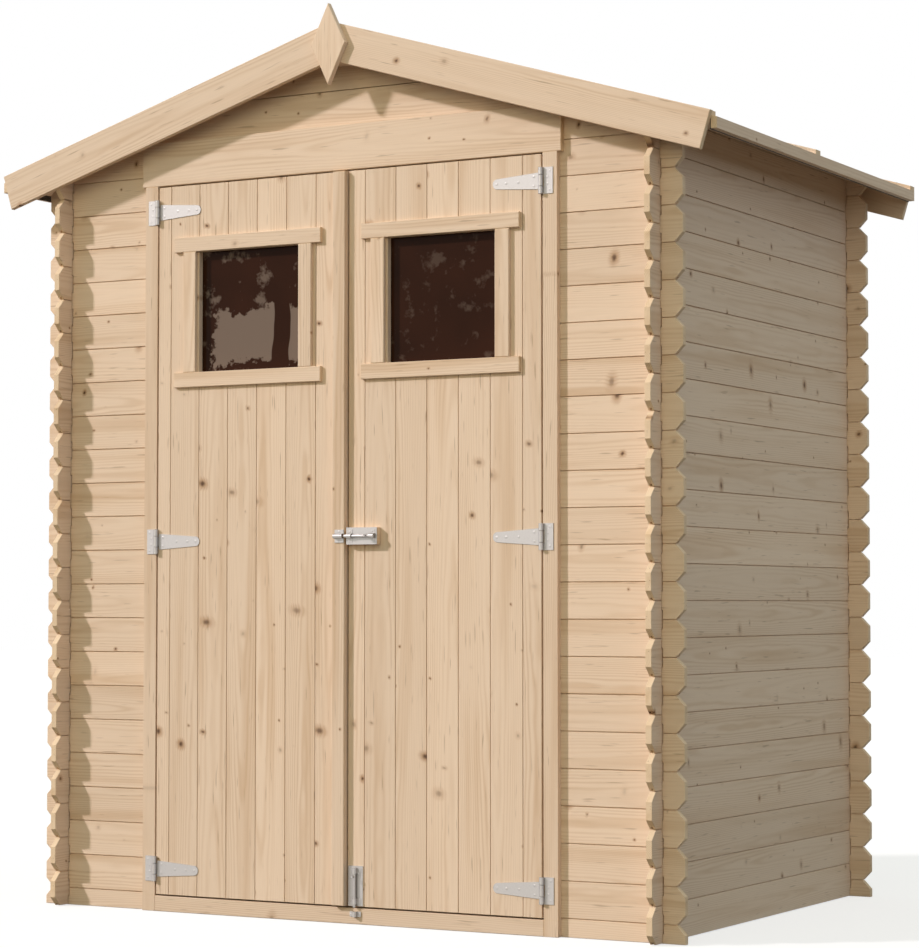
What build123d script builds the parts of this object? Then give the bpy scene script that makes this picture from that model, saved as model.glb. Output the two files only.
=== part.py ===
from build123d import *
from math import cos, radians, sin, tan
import os

# A wooden garden shed with a gabled roof and a pair of glazed doors.
# Millimetres. X runs along the front, the front faces -Y, Z is up.
# The origin is on the ground, in the middle of the four walls.

# Wall boards, laid across each other at the corners
board_cover = 88.0
wall_thickness = 16.0
wall_width = 1726.0
wall_depth = 1206.0
side_board_count = 22
corner_reach = 57.0
chamfer_run = 21.0
chamfer_rise = 22.0

# Roof
roof_slope = 16.85
roof_board_thickness = 16.0
eave_reach = 154.0
felt_thickness = 1.5
batten_thickness = 11.0
batten_width = 30.0
middle_batten_shift = -37.0
eave_strip_thickness = 16.0
eave_strip_height = 32.0
ridge_beam_width = 36.0
ridge_beam_height = 70.0
bargeboard_width = 93.0
bargeboard_thickness = 15.0
bargeboard_inset = 10.0
finial_width = 98.0
finial_height = 203.0
finial_thickness = 16.0
finial_rise = 44.0

# Doorway frame
doorway_width = 1122.0
header_lap = 28.0
frame_thickness = 16.0
jamb_width = 38.0
jamb_groove_depth = 20.0
header_height = 114.0
header_reach = 11.0
sill_height = 39.0

# Floor
floor_thickness = 15.0
bearer_width = 45.0
bearer_count = 5

# Doors
door_thickness = 16.0
door_gap = 5.0
meeting_gap = 6.0
meeting_offset = 16.5
cover_strip_width = 36.0
cover_strip_thickness = 16.0
ledge_height = 70.0
ledge_thickness = 16.0
ledge_inset = 30.0

# Windows in the doors
window_width = 311.0
window_height = 310.0
window_head = 172.5
trim_width = 38.0
trim_thickness = 10.0
opening_step = 6.0
trim_rail_reach = 28.0
butt_gap = 0.3
glass_thickness = 3.0
glass_lap = 12.0

# Strap hinges
hinge_end_distance = 64.0
middle_hinge_drop = 7.5
hinge_metal = 2.0
hinge_barrel = 12.0
hinge_pin = 6.0
pin_clearance = 0.3
knuckle_gap = 0.5
hinge_plate_height = 64.0
hinge_plate_reach = 35.0
knuckle_share = 0.28
strap_length = 130.0
strap_root_height = 41.0
strap_end_height = 25.0

# Barrel bolts
bolt_metal = 2.0
bolt_plate_width = 42.0
latch_plate_length = 88.0
foot_plate_length = 98.0
foot_bolt_offset = 42.0
bolt_edge_margin = 0.5
bolt_rod = 8.0
bolt_rod_lift = 5.5
bolt_rod_rest = 3.0
bolt_clearance = 0.4
bolt_guide_length = 14.0
bolt_guide_wall = 2.0
bolt_guide_margin = 5.0
bolt_knob = 7.0
bolt_knob_length = 14.0
keeper_length = 26.0
sill_keeper_length = 13.0
sill_keeper_drop = 7.5
keeper_foot_width = 32.0

# Sizes that follow from the ones above
half_width = wall_width / 2
half_depth = wall_depth / 2
eave_height = side_board_count * board_cover
fall = tan(radians(roof_slope))
plumb = 1 / cos(radians(roof_slope))
roof_underside = eave_height + half_width * fall
roof_top = roof_underside + roof_board_thickness * plumb
felt_top = roof_top + felt_thickness * plumb
batten_top = felt_top + batten_thickness * plumb
roof_edge = half_width + eave_reach
eave_edge = roof_edge + eave_strip_thickness
roof_end = half_depth + corner_reach
frame_front = -half_depth - frame_thickness
wall_inside = -half_depth + wall_thickness
side_panel_top = (side_board_count - 0.5) * board_cover
doorway_height = side_panel_top - header_lap
doorway_half = doorway_width / 2
frame_half = doorway_half + jamb_width
panel_end = frame_half - jamb_groove_depth
door_half = doorway_half - door_gap
door_bottom = sill_height + door_gap
door_top = doorway_height - door_gap
door_back = frame_front + door_thickness
door_middle = (door_bottom + door_top) / 2
window_top = door_top - window_head
window_bottom = window_top - window_height
hinge_x = doorway_half - door_gap / 2
hinge_y = frame_front - hinge_barrel / 2
hinge_heights = (door_bottom + hinge_end_distance, door_middle - middle_hinge_drop,
                 door_top - hinge_end_distance)


def block(x0, x1, y0, y1, z0, z1):
    """A box between two corners."""
    box = Box(x1 - x0, y1 - y0, z1 - z0)
    return Pos((x0 + x1) / 2, (y0 + y1) / 2, (z0 + z1) / 2) * box


def prism(points, start, depth):
    """An outline of (X, Z) points, carried along +Y from start."""
    face = Plane.XZ * make_face(Polyline(*points, close=True))
    return Pos(0, start + depth, 0) * extrude(face, amount=depth)


def export(name, *solids):
    """Write one node as a STEP file."""
    shape = solids[0] if len(solids) == 1 else Compound(children=list(solids))
    export_step(shape, f"parts/{name}.step")


# Walls

def board_seams(first, low, high):
    """Heights of the seams between boards, from low to high."""
    seams = []
    height = first
    while height <= high:
        if height >= low:
            seams.append(height)
        height += board_cover
    return seams


def board_ends(reach, seams, low, high):
    """Points up the chamfered board ends at distance reach, from low to high."""
    points = []
    if low not in seams:
        points.append((reach, low))
    for seam in seams:
        if seam > low:
            points.append((reach, seam - chamfer_rise))
        points.append((reach - chamfer_run, seam))
        if seam + chamfer_rise < high:
            points.append((reach, seam + chamfer_rise))
    last_out = points[-1][0]
    if points[-1][1] < high:
        points.append((last_out, high))
    return points


def crossing_slots(across, start, first, high):
    """Notches where the boards of the crossing wall pass through, half a board high each."""
    slots = []
    height = first
    while height < high:
        slots.append(block(across - wall_thickness, across, start, start + wall_thickness,
                           height - board_cover / 4, height + board_cover / 4))
        height += board_cover
    return slots


def above_roof_underside(margin):
    """Everything above the roof's underside, which trims the walls to the slope."""
    high = roof_underside + margin
    wide = half_width + margin
    points = [(0, roof_underside), (wide, roof_underside - wide * fall), (wide, high),
              (-wide, high), (-wide, roof_underside - wide * fall)]
    length = 2 * (roof_end + margin)
    return prism(points, -length / 2, length)


def gable_wall(outline, start):
    """One piece of a front or back wall, trimmed to the roof and notched at both corners."""
    wall = prism(outline, start, wall_thickness)
    wall -= above_roof_underside(board_cover * 2)
    for side in (-1, 1):
        edge = half_width if side > 0 else wall_thickness - half_width
        for slot in crossing_slots(edge, start, board_cover / 2, roof_underside):
            wall -= slot
    return wall


def front_wall_side(side):
    """The front wall beside the doorway; side is -1 on the left and 1 on the right."""
    reach = half_width + corner_reach
    seams = board_seams(board_cover / 2, 0, side_panel_top)
    ends = board_ends(reach, seams, 0, side_panel_top)
    outline = [(panel_end, 0), *ends, (panel_end, side_panel_top)]
    outline = [(side * x, z) for x, z in outline]
    return gable_wall(outline, -half_depth)


def front_gable():
    """The front wall over the doorway, up to the ridge."""
    reach = half_width + corner_reach
    ends = board_ends(reach, [side_panel_top], side_panel_top, roof_underside)
    right = [(panel_end, doorway_height), (panel_end, side_panel_top), *ends]
    left = [(-x, z) for x, z in reversed(right)]
    return gable_wall([*right, *left], -half_depth) - ridge_beam_space()


def back_wall():
    """The whole back wall with its gable."""
    reach = half_width + corner_reach
    seams = board_seams(board_cover / 2, 0, side_panel_top)
    ends = board_ends(reach, seams, 0, roof_underside)
    left = [(-x, z) for x, z in reversed(ends)]
    return gable_wall([*ends, *left], half_depth - wall_thickness) - ridge_beam_space()


def side_wall(side):
    """A side wall, whose boards lie half a board higher than the front's."""
    reach = half_depth + corner_reach
    high = eave_height + wall_thickness
    seams = board_seams(0, 0, eave_height)
    ends = board_ends(reach, seams, 0, high)
    mirrored = [(-y, z) for y, z in reversed(ends)]
    panel = Rot(0, 0, 90) * prism([*ends, *mirrored], 0, wall_thickness)
    wall = Pos(half_width if side > 0 else wall_thickness - half_width, 0, 0) * panel
    wall -= above_roof_underside(board_cover * 2)
    for front in (-half_depth, half_depth - wall_thickness):
        edge = half_width if side > 0 else wall_thickness - half_width
        for slot in crossing_slots(edge, front, 0, high):
            wall -= slot
    return wall


# Roof

def slope_layer(low, high, edge, start, depth):
    """A layer of the right-hand slope between two ridge heights, plumb cut at ridge and edge."""
    points = [(0, low), (edge, low - edge * fall), (edge, high - edge * fall), (0, high)]
    return prism(points, start, depth)


def roof_boards():
    """The right-hand slope's boards."""
    return slope_layer(roof_underside, roof_top, roof_edge, -roof_end, 2 * roof_end)


def both_sides(solids):
    """Right-hand solids with their mirror images."""
    return [*solids, *[mirror(solid, about=Plane.YZ) for solid in solids]]


def roof_felt():
    """The felt over the boards and the eave strip."""
    return slope_layer(roof_top, felt_top, eave_edge, -roof_end, 2 * roof_end)


def roof_battens():
    """Three battens that hold the felt down: at both ends and near the middle."""
    starts = (-roof_end, middle_batten_shift - batten_width / 2, roof_end - batten_width)
    return [slope_layer(felt_top, batten_top, eave_edge, start, batten_width) for start in starts]


def eave_strip():
    """The upright strip along the eave, its top bevelled to the slope."""
    outer_top = roof_top - eave_edge * fall
    points = [(roof_edge, roof_top - roof_edge * fall), (eave_edge, outer_top),
              (eave_edge, outer_top - eave_strip_height), (roof_edge, outer_top - eave_strip_height)]
    return prism(points, -roof_end, 2 * roof_end)


def ridge_beam_space():
    """The ridge beam's outline along the whole roof, its top cut to both slopes."""
    half = ridge_beam_width / 2
    low = roof_underside - ridge_beam_height
    points = [(-half, low), (half, low), (half, roof_underside - half * fall),
              (0, roof_underside), (-half, roof_underside - half * fall)]
    return prism(points, -roof_end, 2 * roof_end)


def bargeboard(start):
    """The right-hand bargeboard, square cut at its foot and plumb cut at the ridge."""
    foot_x = eave_edge - bargeboard_inset
    foot_z = batten_top - foot_x * fall
    slope = radians(roof_slope)
    points = [(0, batten_top), (foot_x, foot_z),
              (foot_x - bargeboard_width * sin(slope), foot_z - bargeboard_width * cos(slope)),
              (0, batten_top - bargeboard_width * plumb)]
    return prism(points, start, bargeboard_thickness)


def finial():
    """The diamond over the joint of the front bargeboards."""
    tip = batten_top + finial_rise
    middle = tip - finial_height / 2
    points = [(0, tip), (finial_width / 2, middle), (0, tip - finial_height),
              (-finial_width / 2, middle)]
    front = -roof_end - bargeboard_thickness - finial_thickness
    return prism(points, front, finial_thickness)


# Doorway frame and floor

def jamb(side):
    """A post that grips the wall's board ends in its groove and stands proud in front."""
    x0, x1, x2 = doorway_half, panel_end, frame_half
    back = wall_inside + frame_thickness
    front_flange = block(x0, x2, frame_front, -half_depth, 0, doorway_height)
    web = block(x0, x1, -half_depth, wall_inside, 0, doorway_height)
    back_flange = block(x0, x2, wall_inside, back, sill_height, doorway_height)
    post = front_flange + web + back_flange
    return post if side > 0 else mirror(post, about=Plane.YZ)


def header():
    """The board over the doors."""
    reach = frame_half + header_reach
    return block(-reach, reach, frame_front, -half_depth, doorway_height,
                 doorway_height + header_height)


def sill():
    """The threshold between the jambs."""
    return block(-doorway_half, doorway_half, frame_front, wall_inside, 0, sill_height)


def floor_boards():
    """The floor, level with the threshold."""
    x = half_width - wall_thickness
    y = half_depth - wall_thickness
    return block(-x, x, -y, y, sill_height - floor_thickness, sill_height)


def floor_bearers():
    """The bearers under the floor, evenly spaced from front to back."""
    x = half_width - wall_thickness
    first = wall_inside + bearer_width / 2
    pitch = -2 * first / (bearer_count - 1)
    centres = [first + pitch * i for i in range(bearer_count)]
    high = sill_height - floor_thickness
    return [block(-x, x, y - bearer_width / 2, y + bearer_width / 2, 0, high) for y in centres]


# Doors

def window_span(side):
    """The left and right edges of the space inside the trim on this side's door."""
    centre = side * doorway_half / 2
    return centre - window_width / 2, centre + window_width / 2


def door_leaf(x0, x1, side):
    """A boarded leaf with its window cut through."""
    w0, w1 = window_span(side)
    leaf = block(x0, x1, frame_front, door_back, door_bottom, door_top)
    return leaf - block(w0 + opening_step, w1 - opening_step, frame_front, door_back,
                        window_bottom + opening_step, window_top - opening_step)


def frame_boards(side, y0, y1, rail_reach):
    """Two rails and two stiles round the window, the rails running past the stiles."""
    w0, w1 = window_span(side)
    low, high = window_bottom, window_top
    x0, x1 = w0 - trim_width - rail_reach, w1 + trim_width + rail_reach
    return [block(x0, x1, y0, y1, high, high + trim_width),
            block(x0, x1, y0, y1, low - trim_width, low),
            block(w0 - trim_width, w0, y0, y1, low + butt_gap, high - butt_gap),
            block(w1, w1 + trim_width, y0, y1, low + butt_gap, high - butt_gap)]


def window_glass(side):
    """The pane, laid on the leaf's back round its opening."""
    w0, w1 = window_span(side)
    return block(w0 - glass_lap, w1 + glass_lap, door_back, door_back + glass_thickness,
                 window_bottom - glass_lap, window_top + glass_lap)


def inside_boards(x0, x1, side):
    """Ledges across the leaf's back at the hinges, and the frame that holds the pane."""
    back = door_back + ledge_thickness
    boards = [block(x0 + ledge_inset, x1 - ledge_inset, door_back, back,
                    height - ledge_height / 2, height + ledge_height / 2)
              for height in hinge_heights]
    pane = window_glass(side)
    boards += [board - pane for board in frame_boards(side, door_back, back, 0)]
    return boards


def cover_strip():
    """The strip on the left leaf's free edge."""
    return block(meeting_offset - cover_strip_width, meeting_offset,
                 frame_front - cover_strip_thickness, frame_front, door_bottom, door_top)


# Strap hinges

def hinge_plate(height):
    """A right-hand jamb plate with its two outer knuckles and the pin."""
    half = hinge_plate_height / 2
    knuckle = hinge_plate_height * knuckle_share
    plate = block(hinge_x, hinge_x + hinge_plate_reach, frame_front - hinge_metal, frame_front,
                  height - half, height + half)
    middle = block(hinge_x, hinge_x + hinge_barrel / 2 + knuckle_gap, frame_front - hinge_metal,
                   frame_front, height - half + knuckle, height + half - knuckle)
    plate -= middle
    for centre in (height - half + knuckle / 2, height + half - knuckle / 2):
        plate += Pos(hinge_x, hinge_y, centre) * Cylinder(hinge_barrel / 2, knuckle)
    return plate + Pos(hinge_x, hinge_y, height) * Cylinder(hinge_pin / 2, hinge_plate_height)


def hinge_strap(height):
    """A right-hand door strap: a tapered, round-tipped plate with the middle knuckle."""
    root = strap_root_height / 2
    end = strap_end_height / 2
    tip = hinge_x - strap_length + end
    outline = Polyline((hinge_x, height - root), (tip, height - end))
    outline += ThreePointArc((tip, height - end), (tip - end, height), (tip, height + end))
    outline += Polyline((tip, height + end), (hinge_x, height + root), (hinge_x, height - root))
    strap = extrude(Plane.XZ * make_face(outline), amount=hinge_metal)
    strap = Pos(0, frame_front, 0) * strap
    knuckle = hinge_plate_height * (1 - 2 * knuckle_share) - 2 * knuckle_gap
    outer_knuckle = hinge_plate_height * knuckle_share + knuckle_gap
    for side in (-1, 1):
        edge = height + side * (hinge_plate_height / 2 - outer_knuckle / 2)
        strap -= Pos(hinge_x, hinge_y, edge) * Cylinder(hinge_barrel / 2 + knuckle_gap,
                                                        outer_knuckle)
    strap += Pos(hinge_x, hinge_y, height) * Cylinder(hinge_barrel / 2, knuckle)
    return strap - Pos(hinge_x, hinge_y, height) * Cylinder(hinge_pin / 2 + pin_clearance, knuckle)


# Barrel bolts, drawn standing up and throwing down, on a face at Y = 0

def rod_axis():
    """How far the rod's axis stands in front of the face."""
    return bolt_metal + bolt_rod_lift


def saddle(low, high, foot_width):
    """A loop over the rod, open at both ends, with two feet on the plate or face."""
    hole = bolt_rod / 2 + bolt_clearance
    outer = hole + bolt_guide_wall
    front = -rod_axis() - outer
    loop = block(-outer, outer, front, 0, low, high)
    loop += block(-foot_width / 2, foot_width / 2, -bolt_metal, 0, low, high)
    return loop - block(-hole, hole, front + bolt_guide_wall, 0, low, high)


def bolt_case(length):
    """The bolt's plate with its two guides; its foot is at Z = 0."""
    case = block(-bolt_plate_width / 2, bolt_plate_width / 2, -bolt_metal, 0, 0, length)
    lows = (bolt_guide_margin, length - bolt_guide_margin - bolt_guide_length)
    for low in lows:
        case += saddle(low, low + bolt_guide_length, bolt_plate_width)
        case += block(-bolt_rod / 2 - bolt_clearance, bolt_rod / 2 + bolt_clearance,
                      -bolt_metal, 0, low, low + bolt_guide_length)
    return case


def bolt_bar(length):
    """The sliding rod with its knob, which stands between the guides."""
    top = length - bolt_guide_margin
    bar = Pos(0, -rod_axis(), (top - bolt_rod_rest) / 2) * Cylinder(bolt_rod / 2,
                                                                   top + bolt_rod_rest)
    knob_z = length - bolt_guide_margin - bolt_guide_length - bolt_knob
    knob = Rot(90, 0, 0) * Cylinder(bolt_knob / 2, bolt_knob_length)
    return bar + Pos(0, -rod_axis() - bolt_knob_length / 2, knob_z) * knob


def latch_place(x):
    """Lays an upright bolt on its side, throwing towards -X from x, on the packer's face."""
    return Pos(x, frame_front - cover_strip_thickness, door_middle) * Rot(0, 90, 0)


def packer(x):
    """The wooden block that brings the latch level with the cover strip."""
    half = bolt_plate_width / 2
    return block(x, x + latch_plate_length, frame_front - cover_strip_thickness, frame_front,
                 door_middle - half, door_middle + half)


def build():
    """Build every piece and write its file."""
    os.makedirs("parts", exist_ok=True)
    flip = Plane.YZ

    export("front_wall_left", front_wall_side(-1))
    export("front_wall_right", front_wall_side(1))
    export("front_gable", front_gable())
    export("back_wall", back_wall())
    export("left_wall", side_wall(-1))
    export("right_wall", side_wall(1))

    halves = {"roof_boards": roof_boards(), "roof_felt": roof_felt(),
              "front_bargeboard": bargeboard(-roof_end - bargeboard_thickness),
              "rear_bargeboard": bargeboard(roof_end)}
    for name, solid in halves.items():
        export(f"{name}_right", solid)
        export(f"{name}_left", mirror(solid, about=flip))
    export("roof_battens", *both_sides(roof_battens()))
    export("eave_strips", *both_sides([eave_strip()]))
    export("ridge_beam", ridge_beam_space())
    export("front_finial", finial())
    export("rear_finial", mirror(finial(), about=Plane.XZ))

    export("door_jamb_left", jamb(-1))
    export("door_jamb_right", jamb(1))
    export("door_header", header())
    export("door_sill", sill())
    export("floor_boards", floor_boards())
    export("floor_bearers", *floor_bearers())

    leaf_spans = {"left": (-1, -door_half, meeting_offset),
                  "right": (1, meeting_offset + meeting_gap, door_half)}
    for name, (side, x0, x1) in leaf_spans.items():
        export(f"{name}_door", door_leaf(x0, x1, side))
        export(f"{name}_door_ledges", *inside_boards(x0, x1, side))
        export(f"{name}_window_trim",
               *frame_boards(side, frame_front - trim_thickness, frame_front, trim_rail_reach))
        export(f"{name}_window_glass", window_glass(side))
    export("cover_strip", cover_strip())

    plates = [hinge_plate(height) for height in hinge_heights]
    straps = [hinge_strap(height) for height in hinge_heights]
    export("hinge_plates", *both_sides(plates))
    export("right_door_straps", *straps)
    export("left_door_straps", *[mirror(strap, about=flip) for strap in straps])

    latch_x = meeting_offset + meeting_gap + bolt_edge_margin
    export("latch_packer", packer(latch_x))
    export("latch_case", latch_place(latch_x) * bolt_case(latch_plate_length))
    export("latch_rod", latch_place(latch_x) * bolt_bar(latch_plate_length))
    keeper_x = meeting_offset - bolt_edge_margin - keeper_length
    export("latch_keeper", latch_place(keeper_x) * saddle(0, keeper_length, keeper_foot_width))

    foot_place = Pos(foot_bolt_offset, frame_front, door_bottom + bolt_edge_margin)
    export("foot_bolt_case", foot_place * bolt_case(foot_plate_length))
    export("foot_bolt_rod", foot_place * bolt_bar(foot_plate_length))
    keeper_bottom = sill_height - sill_keeper_drop - sill_keeper_length
    keeper_place = Pos(foot_bolt_offset, frame_front, keeper_bottom)
    export("sill_keeper", keeper_place * saddle(0, sill_keeper_length, keeper_foot_width))


build()
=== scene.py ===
"""The looks of a wooden garden shed with a gabled felt roof and glazed double doors.

Sizes are in millimetres, in the part's own frame: X runs along the front, Y from the front to the
back, and Z up. Meshes are written in metres.
"""
import logging
import math
from dataclasses import dataclass
from enum import Enum

import bpy
import numpy as np
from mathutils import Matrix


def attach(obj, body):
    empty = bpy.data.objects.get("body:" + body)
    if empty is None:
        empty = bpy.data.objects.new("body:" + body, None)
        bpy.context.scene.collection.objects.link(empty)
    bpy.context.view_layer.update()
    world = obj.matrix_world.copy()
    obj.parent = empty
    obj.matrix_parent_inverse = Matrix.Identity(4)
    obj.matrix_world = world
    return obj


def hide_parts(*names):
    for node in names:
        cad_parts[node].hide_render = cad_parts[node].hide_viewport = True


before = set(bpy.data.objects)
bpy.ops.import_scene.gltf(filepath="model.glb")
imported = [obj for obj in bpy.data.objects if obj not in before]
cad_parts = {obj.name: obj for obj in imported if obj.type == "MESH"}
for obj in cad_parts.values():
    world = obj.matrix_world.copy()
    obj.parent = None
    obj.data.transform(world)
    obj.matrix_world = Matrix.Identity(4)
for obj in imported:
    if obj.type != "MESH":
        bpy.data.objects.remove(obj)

MM = 0.001
log = logging.getLogger("shed")


class Directions(Enum):
    """Options that are each three directions: of an outline's two axes and of its depth."""

    @property
    def axes(self) -> np.ndarray:
        """The three directions as the rows of a matrix."""
        return np.array(self.value, float)


class Facing(Directions):
    """How a piece's outline lies: facing the front, facing a side or flat on the ground."""

    FRONT = ((1, 0, 0), (0, 0, 1), (0, 1, 0))
    SIDE = ((0, 1, 0), (0, 0, 1), (1, 0, 0))
    FLAT = ((1, 0, 0), (0, 1, 0), (0, 0, 1))


class Throw(Directions):
    """Which way a bolt throws: its directions across, out of its face and back along the rod."""

    LEFT = ((0, 0, 1), (0, -1, 0), (1, 0, 0))
    DOWN = ((1, 0, 0), (0, -1, 0), (0, 0, 1))


class Hand(Enum):
    """Which side of the shed a piece is on."""

    LEFT = -1
    RIGHT = 1


@dataclass(frozen=True)
class Sizes:
    """Sizes that several sub-assemblies share."""

    cover: float = 88.0
    board: float = 16.0
    half_width: float = 863.0
    half_depth: float = 603.0
    courses: int = 22
    reach: float = 57.0
    chamfer_run: float = 21.0
    chamfer_rise: float = 22.0
    slope: float = math.radians(16.85)
    roof_board: float = 16.0
    roof_edge: float = 1017.0
    eave_edge: float = 1033.0
    beam_half: float = 18.0
    frame_face: float = -619.0
    panel_end: float = 579.0
    door_back: float = -603.0
    doorway_half: float = 561.0
    doorway_top: float = 1864.0
    sill_top: float = 39.0
    door_low: float = 44.0
    door_high: float = 1859.0
    door_half: float = 556.0
    door_fit: float = 1.0
    hinge_heights: tuple[float, ...] = (108.0, 944.0, 1795.0)

    @property
    def eave(self) -> float:
        """Height of the side walls."""
        return self.courses * self.cover

    @property
    def fall(self) -> float:
        """How far the roof falls for each millimetre outwards."""
        return math.tan(self.slope)

    @property
    def plumb(self) -> float:
        """Plumb thickness of a layer of the roof for each millimetre of its thickness."""
        return 1 / math.cos(self.slope)

    @property
    def underside(self) -> float:
        """Height of the roof boards' underside at the ridge."""
        return self.eave + self.half_width * self.fall

    @property
    def roof_end(self) -> float:
        """Distance of the roof boards' ends from the middle, along Y."""
        return self.half_depth + self.reach

    @property
    def door_middle(self) -> float:
        """Height of the doors' middle."""
        return (self.door_low + self.door_high) / 2

    def down(self, hand: Hand) -> tuple[float, float, float]:
        """The way down the roof's slope on one side."""
        return (hand.value * math.cos(self.slope), 0, -math.sin(self.slope))


SIZES = Sizes()


# Colours and nodes

SMOOTH = {"interpolation_type": "SMOOTHSTEP"}


def linear(hex_colour: str) -> tuple[float, float, float, float]:
    """An sRGB hex value as the linear colour that the shader takes.

    Args:
        hex_colour: Six hex digits after a hash.

    Returns:
        Linear red, green and blue with an alpha of 1.
    """
    srgb = np.array([int(hex_colour[i:i + 2], 16) / 255 for i in (1, 3, 5)])
    value = np.where(srgb <= 0.04045, srgb / 12.92, ((srgb + 0.055) / 1.055) ** 2.4)
    return (*[float(v) for v in value], 1.0)


def add_node(tree: bpy.types.NodeTree, kind: str, inputs: dict | tuple = (),
             **settings) -> bpy.types.bpy_prop_collection:
    """Add one node with its settings and what feeds it.

    Args:
        tree: The node tree.
        kind: The node's type, without its prefix.
        inputs: Values and output sockets, by the name or number of the input that takes each, or in
            the inputs' order.
        settings: Attributes of the node.

    Returns:
        The new node's output sockets.
    """
    node = tree.nodes.new("ShaderNode" + kind)
    for name, value in settings.items():
        setattr(node, name, value)
    for key, value in inputs.items() if isinstance(inputs, dict) else enumerate(inputs):
        if isinstance(value, bpy.types.NodeSocket):
            tree.links.new(value, node.inputs[key])
        else:
            node.inputs[key].default_value = value
    return node.outputs


def new_material(name: str) -> tuple[bpy.types.Material, bpy.types.NodeTree, bpy.types.Node]:
    """Start a material.

    Args:
        name: Its name.

    Returns:
        The material, its node tree and its shader.
    """
    material = bpy.data.materials.new(name)
    material.use_nodes = True
    return material, material.node_tree, material.node_tree.nodes["Principled BSDF"]


@dataclass(frozen=True)
class SpruceFinish:
    """Planed, untreated spruce: pale straw wood with faint late-wood lines and small brown knots.

    The grain attribute gives each point its place in the log, in metres: along the board, and the
    two distances from the pith. Rings are circles round the pith, so faces show long arches and
    streaks, and ends show curved bands. Each streak's size is given along and across the grain.
    Real fibres are far finer than 1.8 mm; they are drawn that coarse so that they show. A name that
    ends in at gives the two values of noise or chance between which something comes in.
    """

    name: str = "planed_spruce"
    early: str = "#EAD3BC"
    late: str = "#CBA985"
    streak: str = "#8E6C4A"
    knot_edge: str = "#B38963"
    knot_heart: str = "#4E3220"
    ring_mm: float = 3.6
    fibre_mm: tuple[float, float] = (83.0, 1.8)
    flame_mm: tuple[float, float] = (900.0, 42.0)
    resin_mm: tuple[float, float] = (77.0, 5.9)
    bend_mm: tuple[float, float] = (1100.0, 250.0)
    waver_mm: tuple[float, float] = (140.0, 29.0)
    figure_mm: tuple[float, float] = (500.0, 83.0)
    bend_by_mm: float = 30.0
    waver_by_mm: float = 3.5
    knot_by_mm: float = 4.0
    flame_at: tuple[float, float] = (0.48, 0.75)
    flame_share: float = 0.45
    resin_at: tuple[float, float] = (0.66, 0.80)
    resin_share: float = 0.42
    knot_cell_mm: float = 118.0
    knot_scatter: float = 0.95
    knot_radius_mm: tuple[float, float] = (2.9, 11.5)
    knot_radius_at: tuple[float, float] = (0.25, 1.25)
    knot_ragged_mm: tuple[float, float] = (9.0, 4.0)
    knot_stretch: tuple[float, float] = (0.85, 1.7)
    knot_stretch_at: tuple[float, float] = (0.5, 1.0)
    knot_strength_at: tuple[float, float] = (0.3, 0.95)
    knot_slant: float = 0.12
    heart_at: tuple[float, float] = (1.0, 0.15)
    heart_share: float = 0.92
    halo_at: tuple[float, float] = (2.3, 0.5)
    halo_share: float = 0.75
    late_power: float = 2.0
    figure: tuple[float, float] = (0.08, 0.46)
    figure_at: tuple[float, float] = (0.3, 0.7)
    light: float = 0.94
    fibre_light: float = 0.12
    tone_light: float = 0.03
    roughness: float = 0.62
    specular: float = 0.25
    relief_mm: float = 0.3
    relief_strength: float = 0.25
    shade: float = 1.0

    def build(self) -> bpy.types.Material:
        """Make the material.

        Returns:
            The finished material.
        """
        material, tree, shader = new_material(self.name)
        grain = add_node(tree, "Attribute", attribute_name="grain")["Vector"]
        tone = add_node(tree, "Attribute", attribute_name="tone")["Fac"]
        fibre, flame, resin, bend, waver, figure = self._streaks(tree, grain)
        heart, halo = self._knots(tree, grain)
        wander = ((bend, self.bend_by_mm), (waver, self.waver_by_mm), (halo, self.knot_by_mm))
        rings = self._rings(tree, grain, wander, figure)
        flame = add_node(tree, "MapRange", (flame, *self.flame_at, 0.0, self.flame_share), **SMOOTH)[0]
        resin = add_node(tree, "MapRange", (resin, *self.resin_at, 0.0, self.resin_share), **SMOOTH)[0]
        colour = linear(self.early)
        for share, over in ((rings, self.late), (flame, self.late), (resin, self.streak),
                            (halo, self.knot_edge), (heart, self.knot_heart)):
            colour = add_node(tree, "Mix", {0: share, 6: colour, 7: linear(over)}, data_type="RGBA")[2]
        light = self.shade * self.light
        for source, share in ((fibre, self.fibre_light), (tone, self.tone_light)):
            light = add_node(tree, "Math", (source, share * self.shade, light), operation="MULTIPLY_ADD")[0]
        shaded = add_node(tree, "VectorMath", {0: colour, "Scale": light}, operation="SCALE")[0]
        tree.links.new(shaded, shader.inputs["Base Color"])
        shader.inputs["Roughness"].default_value = self.roughness
        shader.inputs["Specular IOR Level"].default_value = self.specular
        relief = add_node(tree, "Math", (rings, fibre), operation="ADD")[0]
        bump = add_node(tree, "Bump", {"Strength": self.relief_strength, "Distance": self.relief_mm * MM,
                                       "Height": relief})[0]
        tree.links.new(bump, shader.inputs["Normal"])
        return material

    def _streaks(self, tree: bpy.types.NodeTree, grain: bpy.types.NodeSocket) -> list[bpy.types.NodeSocket]:
        """Noise drawn out along the grain: the place in the log over the streak's length and width.

        Args:
            tree: The node tree.
            grain: The place in the log.

        Returns:
            Sockets for fibre, flame, resin, bend, waver and figure.
        """
        streaks = []
        for (along, across), detail in ((self.fibre_mm, 2.0), (self.flame_mm, 2.0), (self.resin_mm, 1.0),
                                        (self.bend_mm, 0.0), (self.waver_mm, 1.0), (self.figure_mm, 2.0)):
            per_metre = (1000 / along, 1000 / across, 1000 / across)
            drawn = add_node(tree, "VectorMath", (grain, per_metre), operation="MULTIPLY")[0]
            streaks.append(add_node(tree, "TexNoise", {"Vector": drawn, "Scale": 1.0, "Detail": detail})[0])
        return streaks

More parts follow.
